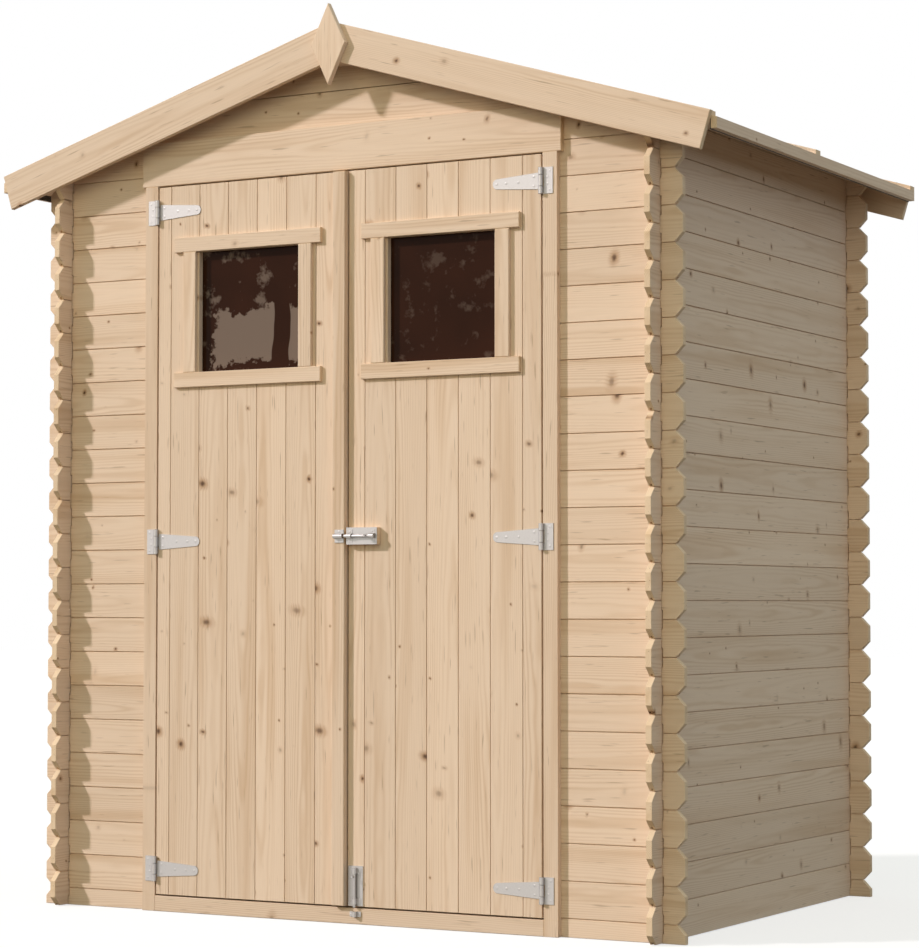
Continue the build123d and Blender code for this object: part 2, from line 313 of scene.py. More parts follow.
    def _knots(self, tree: bpy.types.NodeTree, grain: bpy.types.NodeSocket) -> tuple:
        """Scattered knots, one at most in each cell of a Voronoi pattern.

        A point's distance from its cell's middle, over the knot's radius, gives a dark heart with a
        soft rim. Chance gives each knot its radius, its strength and how far it is drawn out across
        the board, as a branch that was cut lengthways is.

        Args:
            tree: The node tree.
            grain: The place in the log.

        Returns:
            Sockets from 0 to 1: the knot's heart, and the browned wood round it.
        """
        cells_per_metre = 1000 / self.knot_cell_mm
        small, large = [radius / self.knot_cell_mm for radius in self.knot_radius_mm]
        size, depth = self.knot_ragged_mm
        ragged = add_node(tree, "TexNoise", {"Vector": grain, "Scale": 1000 / size, "Detail": 1.0})["Color"]
        place = add_node(tree, "VectorMath", (ragged, (depth * MM, depth * MM, 0), grain),
                         operation="MULTIPLY_ADD")[0]
        flat = add_node(tree, "VectorMath", (place, (cells_per_metre, cells_per_metre, 0)),
                        operation="MULTIPLY")[0]
        cells = add_node(tree, "TexVoronoi", {"Vector": flat, "Scale": 1.0, "Randomness": self.knot_scatter},
                         voronoi_dimensions="2D")
        offset = add_node(tree, "VectorMath", (flat, cells["Position"]), operation="SUBTRACT")[0]
        chance = add_node(tree, "SeparateColor", (cells["Color"],))
        away = add_node(tree, "SeparateXYZ", (offset,))
        radius = add_node(tree, "MapRange", (chance[0], *self.knot_radius_at, small, large), **SMOOTH)[0]
        stretch = add_node(tree, "MapRange", (chance[1], *self.knot_stretch_at, *self.knot_stretch),
                           **SMOOTH)[0]
        strength = add_node(tree, "MapRange", (chance[2], *self.knot_strength_at, 0.0, 1.0), **SMOOTH)[0]
        across = add_node(tree, "Math", (away[1], stretch), operation="DIVIDE")[0]
        slant = add_node(tree, "Math", (away[1], self.knot_slant, away[0]), operation="MULTIPLY_ADD")[0]
        oval = add_node(tree, "CombineXYZ", (slant, across))[0]
        length = add_node(tree, "VectorMath", (oval,), operation="LENGTH")["Value"]
        share = add_node(tree, "Math", (length, radius), operation="DIVIDE")[0]
        heart = add_node(tree, "MapRange", (share, *self.heart_at, 0.0, self.heart_share), **SMOOTH)[0]
        halo = add_node(tree, "MapRange", (share, *self.halo_at, 0.0, self.halo_share), **SMOOTH)[0]
        return tuple(add_node(tree, "Math", (ring, strength), operation="MULTIPLY")[0]
                     for ring in (heart, halo))

    def _rings(self, tree: bpy.types.NodeTree, grain: bpy.types.NodeSocket, wander: tuple,
               figure: bpy.types.NodeSocket) -> bpy.types.NodeSocket:
        """Year rings: the distance from the pith, in ring widths, wavered by noise and round knots.

        Each ring's colour follows a sine, raised to a power so that the late wood is the narrower part.

        Args:
            tree: The node tree.
            grain: The place in the log.
            wander: What moves the rings, with how far it moves them in mm.
            figure: Where the rings show more.

        Returns:
            A socket from 0 to 1, the late wood of each ring.
        """
        across = add_node(tree, "VectorMath", (grain, (0, 1, 1)), operation="MULTIPLY")[0]
        distance = add_node(tree, "VectorMath", (across,), operation="LENGTH")["Value"]
        for source, reach in wander:
            distance = add_node(tree, "Math", (source, reach * MM, distance), operation="MULTIPLY_ADD")[0]
        turn = add_node(tree, "Math", (distance, 2 * math.pi / (self.ring_mm * MM)), operation="MULTIPLY")[0]
        sine = add_node(tree, "Math", (turn,), operation="SINE")[0]
        wave = add_node(tree, "Math", (sine, 0.5, 0.5), operation="MULTIPLY_ADD")[0]
        late = add_node(tree, "Math", (wave, self.late_power), operation="POWER")[0]
        amount = add_node(tree, "MapRange", (figure, *self.figure_at, *self.figure), **SMOOTH)[0]
        return add_node(tree, "Math", (late, amount), operation="MULTIPLY")[0]


@dataclass(frozen=True)
class ZincFinish:
    """Zinc-plated pressed steel: a pale grey metal with a soft cloudy sheen."""

    name: str = "zinc_plated_steel"
    colour: str = "#AFACA9"
    cloud_mm: float = 5.0
    cloud_depth_mm: float = 0.2
    cloud_strength: float = 0.12
    cloud_at: tuple[float, float] = (0.3, 0.7)
    roughness: float = 0.5
    roughness_swing: float = 0.09

    def build(self) -> bpy.types.Material:
        """Make the material.

        Returns:
            The finished material.
        """
        material, tree, shader = new_material(self.name)
        place = add_node(tree, "TexCoord")["Object"]
        cloud = add_node(tree, "TexNoise", {"Vector": place, "Scale": 1000 / self.cloud_mm, "Detail": 4.0})[0]
        rough = add_node(tree, "MapRange", (cloud, *self.cloud_at, self.roughness - self.roughness_swing,
                                            self.roughness + self.roughness_swing))[0]
        tree.links.new(rough, shader.inputs["Roughness"])
        shader.inputs["Base Color"].default_value = linear(self.colour)
        shader.inputs["Metallic"].default_value = 1.0
        bump = add_node(tree, "Bump", {"Strength": self.cloud_strength,
                                       "Distance": self.cloud_depth_mm * MM, "Height": cloud})[0]
        tree.links.new(bump, shader.inputs["Normal"])
        return material


@dataclass(frozen=True)
class FeltFinish:
    """Bitumen roofing felt with mineral chippings: dark grey, matt, with a gritty face.

    Real chippings are about 1 mm across; they are drawn 2.5 mm across so that they show.
    """

    name: str = "mineral_felt"
    dark: str = "#3A3936"
    light: str = "#6B6963"
    chipping_mm: float = 2.5
    chipping_depth_mm: float = 0.6
    chipping_strength: float = 0.5
    patch_mm: float = 250.0
    roughness: float = 0.9

    def build(self) -> bpy.types.Material:
        """Make the material.

        Returns:
            The finished material.
        """
        material, tree, shader = new_material(self.name)
        place = add_node(tree, "TexCoord")["Object"]
        chips = add_node(tree, "TexVoronoi", {"Vector": place, "Scale": 1000 / self.chipping_mm})
        chip = add_node(tree, "SeparateColor", (chips["Color"],))[0]
        patch = add_node(tree, "TexNoise", {"Vector": place, "Scale": 1000 / self.patch_mm, "Detail": 3.0})[0]
        both = add_node(tree, "Math", (chip, patch), operation="MULTIPLY")[0]
        colour = add_node(tree, "Mix", {0: both, 6: linear(self.dark), 7: linear(self.light)},
                          data_type="RGBA")[2]
        tree.links.new(colour, shader.inputs["Base Color"])
        shader.inputs["Roughness"].default_value = self.roughness
        bump = add_node(tree, "Bump", {"Strength": self.chipping_strength,
                                       "Distance": self.chipping_depth_mm * MM,
                                       "Height": chips["Distance"]})[0]
        tree.links.new(bump, shader.inputs["Normal"])
        return material


@dataclass(frozen=True)
class PaneFinish:
    """Clear sheet glass: painted brown-black shade of the dark interior, and a painted reflection of trees
    and sky.
    """

    name: str = "window_glass"
    # Painted shade: the two browns below stand for the dark interior seen through the glass.
    dark: str = "#2A180F"
    interior_shade: str = "#3D2216"
    # Painted reflection: the colour below is the light of trees and sky mirrored in the glass.
    reflection_colour: str = "#7C6C62"
    leaf_mm: float = 13.0
    clump_mm: float = 55.0
    crown_mm: float = 120.0
    sky_middle_mm: tuple[float, float] = (-255.0, 1464.0)
    sky_half_mm: tuple[float, float] = (133.0, 71.0)
    leaf_by_mm: float = 60.0
    crown_by_mm: float = 80.0
    trunk_mm: float = -191.0
    trunk_half_mm: float = 25.0
    trunk_by_mm: float = 40.0
    trunk_soft_mm: float = 1.0
    sky_soft_mm: float = 4.0
    peaks_at: tuple[float, float] = (0.84, 0.98)
    peaks_share: float = 0.7
    between_mm: float = 20.0
    right_share: float = 0.4
    roughness: float = 0.04
    ior: float = 1.5
    specular: float = 0.06

    def build(self) -> bpy.types.Material:
        """Make the material.

        A painted reflection of open sky fills an oblong low on the left pane, whose edge fine and broad
        noise push in and out, as leaves and crowns do. An upright trunk cuts it. Elsewhere only the peaks
        of the same noise paint a little reflected light, fainter on the right pane, over the painted shade
        of the dark interior.

        Returns:
            The finished material.
        """
        material, tree, shader = new_material(self.name)
        place = add_node(tree, "TexCoord")["Object"]
        leaves, clumps, crowns = [
            add_node(tree, "TexNoise", {"Vector": place, "Scale": 1000 / size, "Detail": detail})[0]
            for size, detail in ((self.leaf_mm, 4.0), (self.clump_mm, 1.0), (self.crown_mm, 1.0))]
        middle = (self.sky_middle_mm[0] * MM, 0.0, self.sky_middle_mm[1] * MM)
        half = (self.sky_half_mm[0] * MM, 1.0, self.sky_half_mm[1] * MM)
        away = add_node(tree, "VectorMath", (place, middle), operation="SUBTRACT")[0]
        away = add_node(tree, "VectorMath", (away,), operation="ABSOLUTE")[0]
        away = add_node(tree, "VectorMath", (away, half), operation="SUBTRACT")[0]
        sideways, _, upwards = add_node(tree, "SeparateXYZ", (away,)).values()
        outside = add_node(tree, "Math", (sideways, upwards), operation="MAXIMUM")[0]
        for source, reach in ((leaves, self.leaf_by_mm), (crowns, self.crown_by_mm)):
            outside = add_node(tree, "Math", (source, reach * MM, outside), operation="MULTIPLY_ADD")[0]
        edge = (self.leaf_by_mm + self.crown_by_mm) / 2 * MM
        soft = self.sky_soft_mm * MM
        # Painted reflection of open sky, in an oblong with a ragged edge.
        sky = add_node(tree, "MapRange", (outside, edge + soft, edge - soft, 0.0, 1.0))[0]
        # Painted reflection: a little light where the noise peaks, fainter on the right pane.
        peaks = add_node(tree, "Math", (leaves, 0.5, clumps), operation="MULTIPLY_ADD")[0]
        peaks = add_node(tree, "MapRange", (peaks, *self.peaks_at, 0.0, self.peaks_share))[0]
        side = add_node(tree, "SeparateXYZ", (place,))["X"]
        between = self.between_mm * MM
        faint = add_node(tree, "MapRange", (side, -between, between, 1.0, self.right_share))[0]
        peaks = add_node(tree, "Math", (peaks, faint), operation="MULTIPLY")[0]
        trunk = add_node(tree, "Math", (crowns, self.trunk_by_mm * MM, side), operation="MULTIPLY_ADD")[0]
        trunk = add_node(tree, "Math", (trunk, (self.trunk_mm + self.trunk_by_mm / 2) * MM),
                         operation="SUBTRACT")[0]
        trunk = add_node(tree, "Math", (trunk,), operation="ABSOLUTE")[0]
        beside = add_node(tree, "MapRange", (trunk, (self.trunk_half_mm - self.trunk_soft_mm) * MM,
                                             (self.trunk_half_mm + self.trunk_soft_mm) * MM, 0.0, 1.0))[0]
        share = add_node(tree, "Math", (sky, peaks), operation="MAXIMUM")[0]
        share = add_node(tree, "Math", (share, beside), operation="MULTIPLY")[0]
        # Painted shade of the dark interior, mottled between two browns; the painted reflection is laid over
        # it below.
        back = add_node(tree, "Mix", {0: crowns, 6: linear(self.dark), 7: linear(self.interior_shade)},
                        data_type="RGBA")[2]
        colour = add_node(tree, "Mix", {0: share, 6: back, 7: linear(self.reflection_colour)}, data_type="RGBA")[2]
        tree.links.new(colour, shader.inputs["Base Color"])
        shader.inputs["Roughness"].default_value = self.roughness
        shader.inputs["IOR"].default_value = self.ior
        shader.inputs["Specular IOR Level"].default_value = self.specular
        return material


class Finishes:
    """The materials, made once."""

    def __init__(self) -> None:
        """Build every finish."""
        self.spruce = SpruceFinish().build()
        self.spruce_end = SpruceFinish(name="spruce_end_grain", early="#EAD2B4", late="#C9A579",
                                       shade=0.99).build()
        self.zinc = ZincFinish().build()
        self.felt = FeltFinish().build()
        self.pane = PaneFinish().build()


# Outlines and surfaces

def rectangle(x0: float, x1: float, y0: float, y1: float) -> np.ndarray:
    """A rectangle's corners, anticlockwise."""
    return np.array([(x0, y0), (x1, y0), (x1, y1), (x0, y1)], float)


def for_hand(outline: np.ndarray, hand: Hand) -> np.ndarray:
    """An outline drawn for the right side, mirrored across the middle for the left."""
    return outline if hand is Hand.RIGHT else (outline * (-1, 1))[::-1]


def arc(centre: tuple[float, float], radius: float, start: float, end: float, steps: int) -> np.ndarray:
    """Points on a circle: centre plus radius times cosine and sine, from start to end degrees."""
    angle = np.radians(np.linspace(start, end, steps))
    return np.stack([centre[0] + radius * np.cos(angle), centre[1] + radius * np.sin(angle)], 1)


def inset(outline: np.ndarray, amount: float) -> np.ndarray:
    """An anticlockwise outline moved inwards.

    Each point moves along its mitre, the sum of its two edges' inward normals over one plus their
    product. The tiny terms keep points that lie together from dividing by zero.

    Args:
        outline: Points in order.
        amount: How far the edges move.

    Returns:
        The moved points.
    """
    edge = np.roll(outline, -1, 0) - outline
    normal = np.stack([-edge[:, 1], edge[:, 0]], 1)
    normal /= np.linalg.norm(normal, axis=1, keepdims=True) + 1e-12
    before = np.roll(normal, 1, 0)
    mitre = (normal + before) / (1 + (normal * before).sum(1, keepdims=True) + 1e-9)
    return outline + amount * mitre


def clip(outline: np.ndarray, normal: tuple[float, float], limit: float,
         closest: float = 0.05) -> np.ndarray:
    """The part of an outline where its product with normal is at most limit.

    Args:
        outline: Points in order.
        normal: Direction that is cut off.
        limit: Largest product that stays.
        closest: Least distance between points; one that is nearer to the point before it goes.

    Returns:
        The points that stay, with new ones where edges cross the line.
    """
    over = outline @ np.array(normal) - limit
    following, following_over = np.roll(outline, -1, 0), np.roll(over, -1)
    crosses = (over > 0) != (following_over > 0)
    share = np.where(crosses, over / np.where(crosses, over - following_over, 1), 0)[:, None]
    crossing = outline + share * (following - outline)
    pairs = np.stack([outline, crossing], 1).reshape(-1, 2)
    keep = np.stack([over <= 0, crosses], 1).reshape(-1)
    kept = pairs[keep]
    apart = np.linalg.norm(kept - np.roll(kept, 1, 0), axis=1) > closest
    return kept[apart]


class PieceMesh:
    """Pieces gathered into one mesh, each carried along its depth from an outline.

    Faces that meet at less than SOFT_BELOW degrees shade as one. A face is left out where twice
    its area is NO_AREA or less, in square millimetres.
    """

    SOFT_BELOW = 32.0
    NO_AREA = 1e-6

    def __init__(self, name: str) -> None:
        """Start an empty mesh.

        Args:
            name: The object's name.
        """
        self.name = name
        self.points: list[np.ndarray] = []
        self.faces: list[list[int]] = []
        self.count = 0

    def put(self, points: np.ndarray, faces: list[list[int]]) -> None:
        """Add a closed surface.

        Args:
            points: Its points.
            faces: Its faces, as numbers counted from its own first point.
        """
        self.points.append(points)
        self.faces += [[index + self.count for index in face] for face in faces]
        self.count += len(points)

    @staticmethod
    def carried(rings: np.ndarray, depths: np.ndarray, axes: np.ndarray) -> tuple[np.ndarray, list]:
        """Rings of an outline joined into a closed surface.

        A point is its ring's first value along the first axis, its second along the second, and the
        ring's depth along the third.

        Args:
            rings: Outlines of equal length, one for each depth.
            depths: Place of each ring along the depth.
            axes: Directions of the outline's two axes and of its depth, as rows.

        Returns:
            Points, and faces that point outwards.
        """
        levels, count = rings.shape[:2]
        deep = np.broadcast_to(depths[:, None, None], (levels, count, 1))
        points = np.concatenate([rings, deep], 2).reshape(-1, 3) @ axes
        here = np.arange(levels * count).reshape(levels, count)
        after = np.roll(here, -1, 1)
        quads = np.stack([here[:-1], after[:-1], after[1:], here[1:]], 2).reshape(-1, 4)
        side = points[quads[:, 2]] - points[quads[:, 0]]
        other = points[quads[:, 3]] - points[quads[:, 1]]
        quads = quads[np.linalg.norm(np.cross(side, other), axis=1) > PieceMesh.NO_AREA]
        faces = quads.tolist() + [here[0][::-1].tolist(), here[-1].tolist()]
        if np.linalg.det(axes) < 0:
            faces = [face[::-1] for face in faces]
        return points, faces

    def add_plate(self, outline: np.ndarray, start: float, depth: float, facing: Facing,
                  bevel: float = 0.4) -> None:
        """Add a plate with small bevels round both faces.

        Args:
            outline: Points in order, anticlockwise.
            start: Where the plate starts along its depth.
            depth: Its thickness.
            facing: How the outline lies.
            bevel: Size of the bevels.
        """
        outer = inset(outline, bevel)
        rings = np.stack([outer, outline, outline, outer])
        depths = start + np.array([0, bevel, depth - bevel, depth])
        self.put(*self.carried(rings, depths, facing.axes))

    def add_turned(self, profile: np.ndarray, base: tuple[float, float, float],
                   axis: tuple[float, float, float], sides: int = 20) -> None:
        """Add a turned piece: its profile of distances along the axis and radii, carried round it.

        Args:
            profile: Distances along the axis and radii, in order from one end to the other.
            base: Where the axis starts.
            axis: The axis's direction, along X, Y or Z.
            sides: Points round the piece.
        """
        along = np.array(axis, float)
        first = np.roll(np.abs(along), 1)
        second = np.cross(along, first)
        angle = np.linspace(0, 2 * math.pi, sides, endpoint=False)
        around = np.cos(angle)[:, None] * first + np.sin(angle)[:, None] * second
        rings = profile[:, 1][:, None, None] * around + profile[:, 0][:, None, None] * along
        points = rings.reshape(-1, 3) + np.array(base, float)
        here = np.arange(len(points)).reshape(len(profile), sides)
        after = np.roll(here, -1, 1)
        quads = np.stack([here[:-1], after[:-1], after[1:], here[1:]], 2).reshape(-1, 4)
        self.put(points, quads.tolist() + [here[0][::-1].tolist(), here[-1].tolist()])

    def _new_object(self) -> bpy.types.Object:
        """Put the gathered points and faces into a new object at the origin.

        Returns:
            The object, not dressed yet.
        """
        mesh = bpy.data.meshes.new(self.name)
        mesh.from_pydata((np.concatenate(self.points) * MM).tolist(), [], self.faces)
        mesh.validate()
        piece = bpy.data.objects.new(self.name, mesh)
        bpy.context.scene.collection.objects.link(piece)
        return piece

    def finish(self, body: str, slot: str, material: bpy.types.Material, *nodes: str) -> bpy.types.Object:
        """Make the object, dress it and let it ride.

        Args:
            body: The body that it rides on.
            slot: The record's material slot; not used.
            material: Its material.
            nodes: The nodes that it stands for.

        Returns:
            The finished object.
        """
        piece = self._new_object()
        piece.data.materials.append(material)
        piece.data.shade_smooth()
        piece.data.set_sharp_from_angle(angle=math.radians(self.SOFT_BELOW))
        return register(piece, body, nodes)


def register(piece: bpy.types.Object, body: str, nodes: tuple[str, ...]) -> bpy.types.Object:
    """Tell the frame about a piece and log it.

    Args:
        piece: The finished object.
        body: The body that it rides on.
        nodes: The nodes that it stands for.

    Returns:
        The same object.
    """
    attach(piece, body)
    if nodes:
        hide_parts(*nodes)
    log.info("%s: %d faces, on %s", piece.name, len(piece.data.polygons), body)
    return piece


class TimberMesh(PieceMesh):
    """Boards gathered into one mesh, each cut from its own place in a log.

    A board's middle lies up to PITH_ALONG from the log's middle, up to PITH_ASIDE beside the pith
    and PITH_DEEP in front of or behind it. A face whose normal has END_GRAIN_FROM of its length
    along the board shows end grain.
    """

    PITH_ALONG = 5000.0
    PITH_ASIDE = 45.0
    PITH_DEEP = (25.0, 110.0)
    END_GRAIN_FROM = 0.6

    def __init__(self, name: str, seed: int) -> None:
        """Start an empty mesh.

        Args:
            name: The object's name.
            seed: Fixes where in the log each board comes from.
        """
        super().__init__(name)
        self.random = np.random.default_rng(seed)
        self.grain: list[np.ndarray] = []
        self.tone: list[np.ndarray] = []
        self.along: list[np.ndarray] = []
        self.log_middle = self.log_pith = np.zeros(3)
        self.log_tone = 0.0

    @staticmethod
    def _joined(outline: np.ndarray, outer: np.ndarray, lifts: np.ndarray) -> tuple[np.ndarray, ...]:
        """Points put in where a lift slides along its edge, so that both outlines share them.

        Such a point lies where the lifted point ends up, or, where the lift leads away from the
        edge, where it starts. It has no lift of its own.

        Args:
            outline: Points in order, anticlockwise.
            outer: The same points moved in by the bevel.
            lifts: How far each point moves.

        Returns:
            The three arrays with the new points.
        """
        after = np.roll(np.arange(len(outline)), -1)
        step = outline[after] - outline
        extra = []
        for ends, way in ((np.arange(len(outline)), step), (after, -step)):
            lift = lifts[ends]
            slides = np.abs(lift).sum(1) > 0
            slides &= np.abs(lift[:, 0] * way[:, 1] - lift[:, 1] * way[:, 0]) < 1e-6
            inward = ((lift * way).sum(1) > 0)[:, None]
            at = np.flatnonzero(slides)
            extra.append((at + 1, (outline[ends] + lift * inward)[at], outer[ends][at]))
        at, on_outline, on_outer = (np.concatenate(parts) for parts in zip(*extra))
        return (np.insert(outline, at, on_outline, axis=0), np.insert(outer, at, on_outer, axis=0),
                np.insert(lifts, at, 0.0, axis=0))

    @staticmethod
    def _welded(points: np.ndarray, faces: list[list[int]]) -> tuple[np.ndarray, list[list[int]]]:
        """Points that lie together made one, without the faces that this closes up.

        Args:
            points: Points of a surface.
            faces: Its faces.

        Returns:
            The points that stay, and the faces on them.
        """
        _, first, index = np.unique(np.round(points, 4), axis=0, return_index=True, return_inverse=True)
        index = index.ravel()
        welded = [list(dict.fromkeys(index[face].tolist())) for face in faces]
        return points[first], [face for face in welded if len(face) > 2]

    def _start_log(self, points: np.ndarray) -> None:
        """Choose a new board's place in its log, and its tone, by chance.

        Args:
            points: The board's points.
        """
        self.log_middle = (points.max(0) + points.min(0)) / 2
        self.log_pith = np.array([self.random.uniform(-self.PITH_ALONG, self.PITH_ALONG),
                                  self.random.uniform(-self.PITH_ASIDE, self.PITH_ASIDE),
                                  self.random.choice([-1, 1]) * self.random.uniform(*self.PITH_DEEP)])
        self.log_tone = self.random.normal(0, 1)

    def add_board(self, outline: np.ndarray, start: float, depth: float, facing: Facing,
                  grain: tuple[float, float, float] = (1, 0, 0), bevel: float = 1.0,
                  lifts: np.ndarray | None = None, same_log: bool = False) -> None:
        """Add a board.

        Its outline is carried through its thickness with a small bevel at both faces. Lifts move
        the points of the middle third, which makes a tongue above and a groove below.

        Args:
            outline: Points in order, anticlockwise.
            start: Where the board starts along its depth.
            depth: Its thickness.
            facing: How the outline lies.
            grain: Direction of its grain.
            bevel: Size of its bevels.
            lifts: How far each point moves in the middle third.
            same_log: Whether it continues the board before it.
        """
        outer = inset(outline, bevel)
        if lifts is None:
            rings = np.stack([outer, outline, outline, outer])
            depths = np.array([0, bevel, depth - bevel, depth])
        else:
            outline, outer, lifts = self._joined(outline, outer, lifts)
            middle = outline + lifts
            rings = np.stack([outer, outline, outline, middle, middle, outline, outline, outer])
            third = depth / 3
            depths = np.array([0, bevel, third, third, 2 * third, 2 * third, depth - bevel, depth])
        points, faces = self._welded(*self.carried(rings, start + depths, facing.axes))
        along = np.array(grain, float) / np.linalg.norm(grain)
        through = facing.axes[2] if abs(along @ facing.axes[2]) < 0.5 else facing.axes[0]
        across = np.cross(through, along)
        if not same_log:
            self._start_log(points)
        log_axes = np.stack([along, across, through])
        self.grain.append((points - self.log_middle) @ log_axes.T + self.log_pith)
        self.tone.append(np.full(len(points), self.log_tone))
        self.along.append(np.broadcast_to(along, points.shape))
        self.put(points, faces)

    def _mark_ends(self, mesh: bpy.types.Mesh) -> None:
        """Give the second material to the faces that look along their board.

        A face does if its normal's product with the board's grain is large.

        Args:
            mesh: The finished mesh.
        """
        normals = np.zeros(len(mesh.polygons) * 3, np.float32)
        mesh.polygons.foreach_get("normal", normals)
        first = np.zeros(len(mesh.polygons), np.int32)
        mesh.polygons.foreach_get("loop_start", first)
        corner = np.zeros(len(mesh.loops), np.int32)
        mesh.loops.foreach_get("vertex_index", corner)
        along = np.concatenate(self.along)[corner[first]]
        looks_along = np.abs((normals.reshape(-1, 3) * along).sum(1)) > self.END_GRAIN_FROM
        mesh.polygons.foreach_set("material_index", looks_along.astype(np.int32))

    def finish_timber(self, body: str, finishes: Finishes, *nodes: str) -> bpy.types.Object:
        """Make the object, with end grain on the faces that look along the board.

        Args:
            body: The body that it rides on.
            finishes: The materials.
            nodes: The nodes that it stands for.

        Returns:
            The finished object.
        """
        piece = self._new_object()
        mesh = piece.data
        grain = mesh.attributes.new("grain", "FLOAT_VECTOR", "POINT")
        grain.data.foreach_set("vector", (np.concatenate(self.grain) * MM).ravel().astype(np.float32))
        tone = mesh.attributes.new("tone", "FLOAT", "POINT")
        tone.data.foreach_set("value", np.concatenate(self.tone).astype(np.float32))
        mesh.materials.append(finishes.spruce)
        mesh.materials.append(finishes.spruce_end)
        self._mark_ends(mesh)
        mesh.update()
        return register(piece, body, nodes)


# Walls

@dataclass
class Walls:
    """Four walls of boards that cross at the corners, half a board apart in height."""

    finishes: Finishes
    seam: float = 1.0
    fit: float = 2.0
    tongue: float = 6.0
    bevel: float = 0.9
    beam_low: float = 2127.0
    gable_rows: int = 4
    gable_bevel: float = 0.5
    past_roof: float = 900.0

    @property
    def _half(self) -> float:
        """Half the height of a board without its tongue."""
        return SIZES.cover / 2 - self.seam

    def _corner_end(self, outer: float, low: bool) -> tuple[np.ndarray, np.ndarray]:
        """A board's right-hand end, from its lower edge to its upper edge.

        The crossing wall's board lies in the notches, and both corners of the end are chamfered.

        Args:
            outer: Distance of the crossing wall's outer face.
            low: Whether the board's lower half is there.

        Returns:
            Points relative to the board's middle height, and their lifts at the tongue.
        """
        s = SIZES
        half = self._half
        quarter = half / 2
        run, rise = s.chamfer_run, s.chamfer_rise
        notch = (outer - s.board - self.fit, outer + self.fit)
        end = outer + s.reach
        slide = self.tongue * run / rise
        lower = [(notch[0], -half), (notch[0], -quarter), (notch[1], -quarter), (notch[1], -half),
                 (end - run, -half), (end, rise - half)]
        upper = [(end, half - rise), (end - run, half), (notch[1], half), (notch[1], quarter),
                 (notch[0], quarter), (notch[0], half)]
        lower_lifts = [(0, self.tongue), (0, 0), (0, 0), (0, self.tongue), (slide, self.tongue), (0, 0)]
        upper_lifts = [(0, 0), (-slide, self.tongue), (0, self.tongue), (0, 0), (0, 0), (0, self.tongue)]
        if not low:
            lower, lower_lifts = [(end, 0)], [(0, 0)]
        return np.array(lower + upper, float), np.array(lower_lifts + upper_lifts, float)

    def _board(self, left: float, outer: float, low: bool = True) -> tuple[np.ndarray, np.ndarray]:
        """A board from a plain cut at left to a corner end on the right.

        Args:
            left: Where the plain cut is.
            outer: Distance of the crossing wall's outer face.
            low: Whether the board's lower half is there.

        Returns:
            Outline round the middle height, and the tongue's lifts.
        """
        end, lifts = self._corner_end(outer, low)
        bottom = -self._half if low else 0.0
        cut = np.array([(left, self._half), (left, bottom)])
        cut_lifts = np.array([(0, self.tongue), (0, self.tongue if low else 0)], float)
        return np.concatenate([end, cut]), np.concatenate([lifts, cut_lifts])

    def _whole_board(self, outer: float, low: bool = True) -> tuple[np.ndarray, np.ndarray]:
        """A board with a corner end on both sides.

        Args:
            outer: Distance of the crossing walls' outer faces.
            low: Whether the board's lower half is there.

        Returns:
            Outline round the middle height, and the tongue's lifts.
        """
        end, lifts = self._corner_end(outer, low)
        return (np.concatenate([end, for_hand(end, Hand.LEFT)]),
                np.concatenate([lifts, for_hand(lifts, Hand.LEFT)]))

    def _side_panel(self, hand: Hand) -> None:
        """The front wall beside the doorway.

        Args:
            hand: The side that it is on.
        """
        timber = TimberMesh(f"front_boards_{hand.name.lower()}", 11 + hand.value)
        for row in range(SIZES.courses):
            outline, lifts = self._board(SIZES.panel_end, SIZES.half_width, low=row > 0)
            timber.add_board(for_hand(outline, hand) + (0, row * SIZES.cover), -SIZES.half_depth,
                             SIZES.board, Facing.FRONT, bevel=self.bevel, lifts=for_hand(lifts, hand))
        timber.finish_timber("shed", self.finishes, f"front_wall_{hand.name.lower()}")

    def _gable_outlines(self, row: int) -> list[np.ndarray]:
        """The outlines of one row over the eaves' height, before the roof cuts them.

        The lowest row has corner ends. The two highest are open round the ridge beam.

        Args:
            row: Its number, counted from the eaves' height.

        Returns:
            Outlines round the row's middle height.
        """
        half, far, side = self._half, self.past_roof, SIZES.beam_half
        if row == 0:
            return [self._whole_board(SIZES.half_width)[0]]
        if row == self.gable_rows - 2:
            beam = self.beam_low - (SIZES.courses + row) * SIZES.cover
            return [np.array([(-far, -half), (far, -half), (far, half), (side, half), (side, beam),
                              (-side, beam), (-side, half), (-far, half)])]
        if row == self.gable_rows - 1:
            return [rectangle(side, far, -half, half), rectangle(-far, -side, -half, half)]
        return [rectangle(-far, far, -half, half)]

    def _gable_rows(self, timber: TimberMesh, start: float) -> None:
        """Boards over the eaves' height, cut to the roof's slopes and round the ridge beam.

        Args:
            timber: The mesh that takes them.
            start: Where they start along Y.
        """
        s = SIZES
        for row in range(self.gable_rows):
            for outline in self._gable_outlines(row):
                placed = outline + (0, (s.courses + row) * s.cover)
                for hand in Hand:
                    placed = clip(placed, (hand.value * s.fall, 1.0), s.underside)
                timber.add_board(placed, start, s.board, Facing.FRONT, bevel=self.gable_bevel)

    def _front_gable(self) -> None:
        """The boards over the doorway, up to the roof."""
        timber = TimberMesh("gable_boards", 31)
        top = (SIZES.courses - 0.5) * SIZES.cover - self.seam
        timber.add_board(rectangle(-SIZES.panel_end, SIZES.panel_end, SIZES.doorway_top, top),
                         -SIZES.half_depth, SIZES.board, Facing.FRONT)
        self._gable_rows(timber, -SIZES.half_depth)
        timber.finish_timber("shed", self.finishes, "front_gable")

    def _back(self) -> None:
        """The whole back wall."""
        timber = TimberMesh("back_boards", 41)
        start = SIZES.half_depth - SIZES.board
        for row in range(SIZES.courses):
            outline, lifts = self._whole_board(SIZES.half_width, low=row > 0)
            timber.add_board(outline + (0, row * SIZES.cover), start, SIZES.board, Facing.FRONT,
                             bevel=self.bevel, lifts=lifts)
        self._gable_rows(timber, start)
        timber.finish_timber("shed", self.finishes, "back_wall")

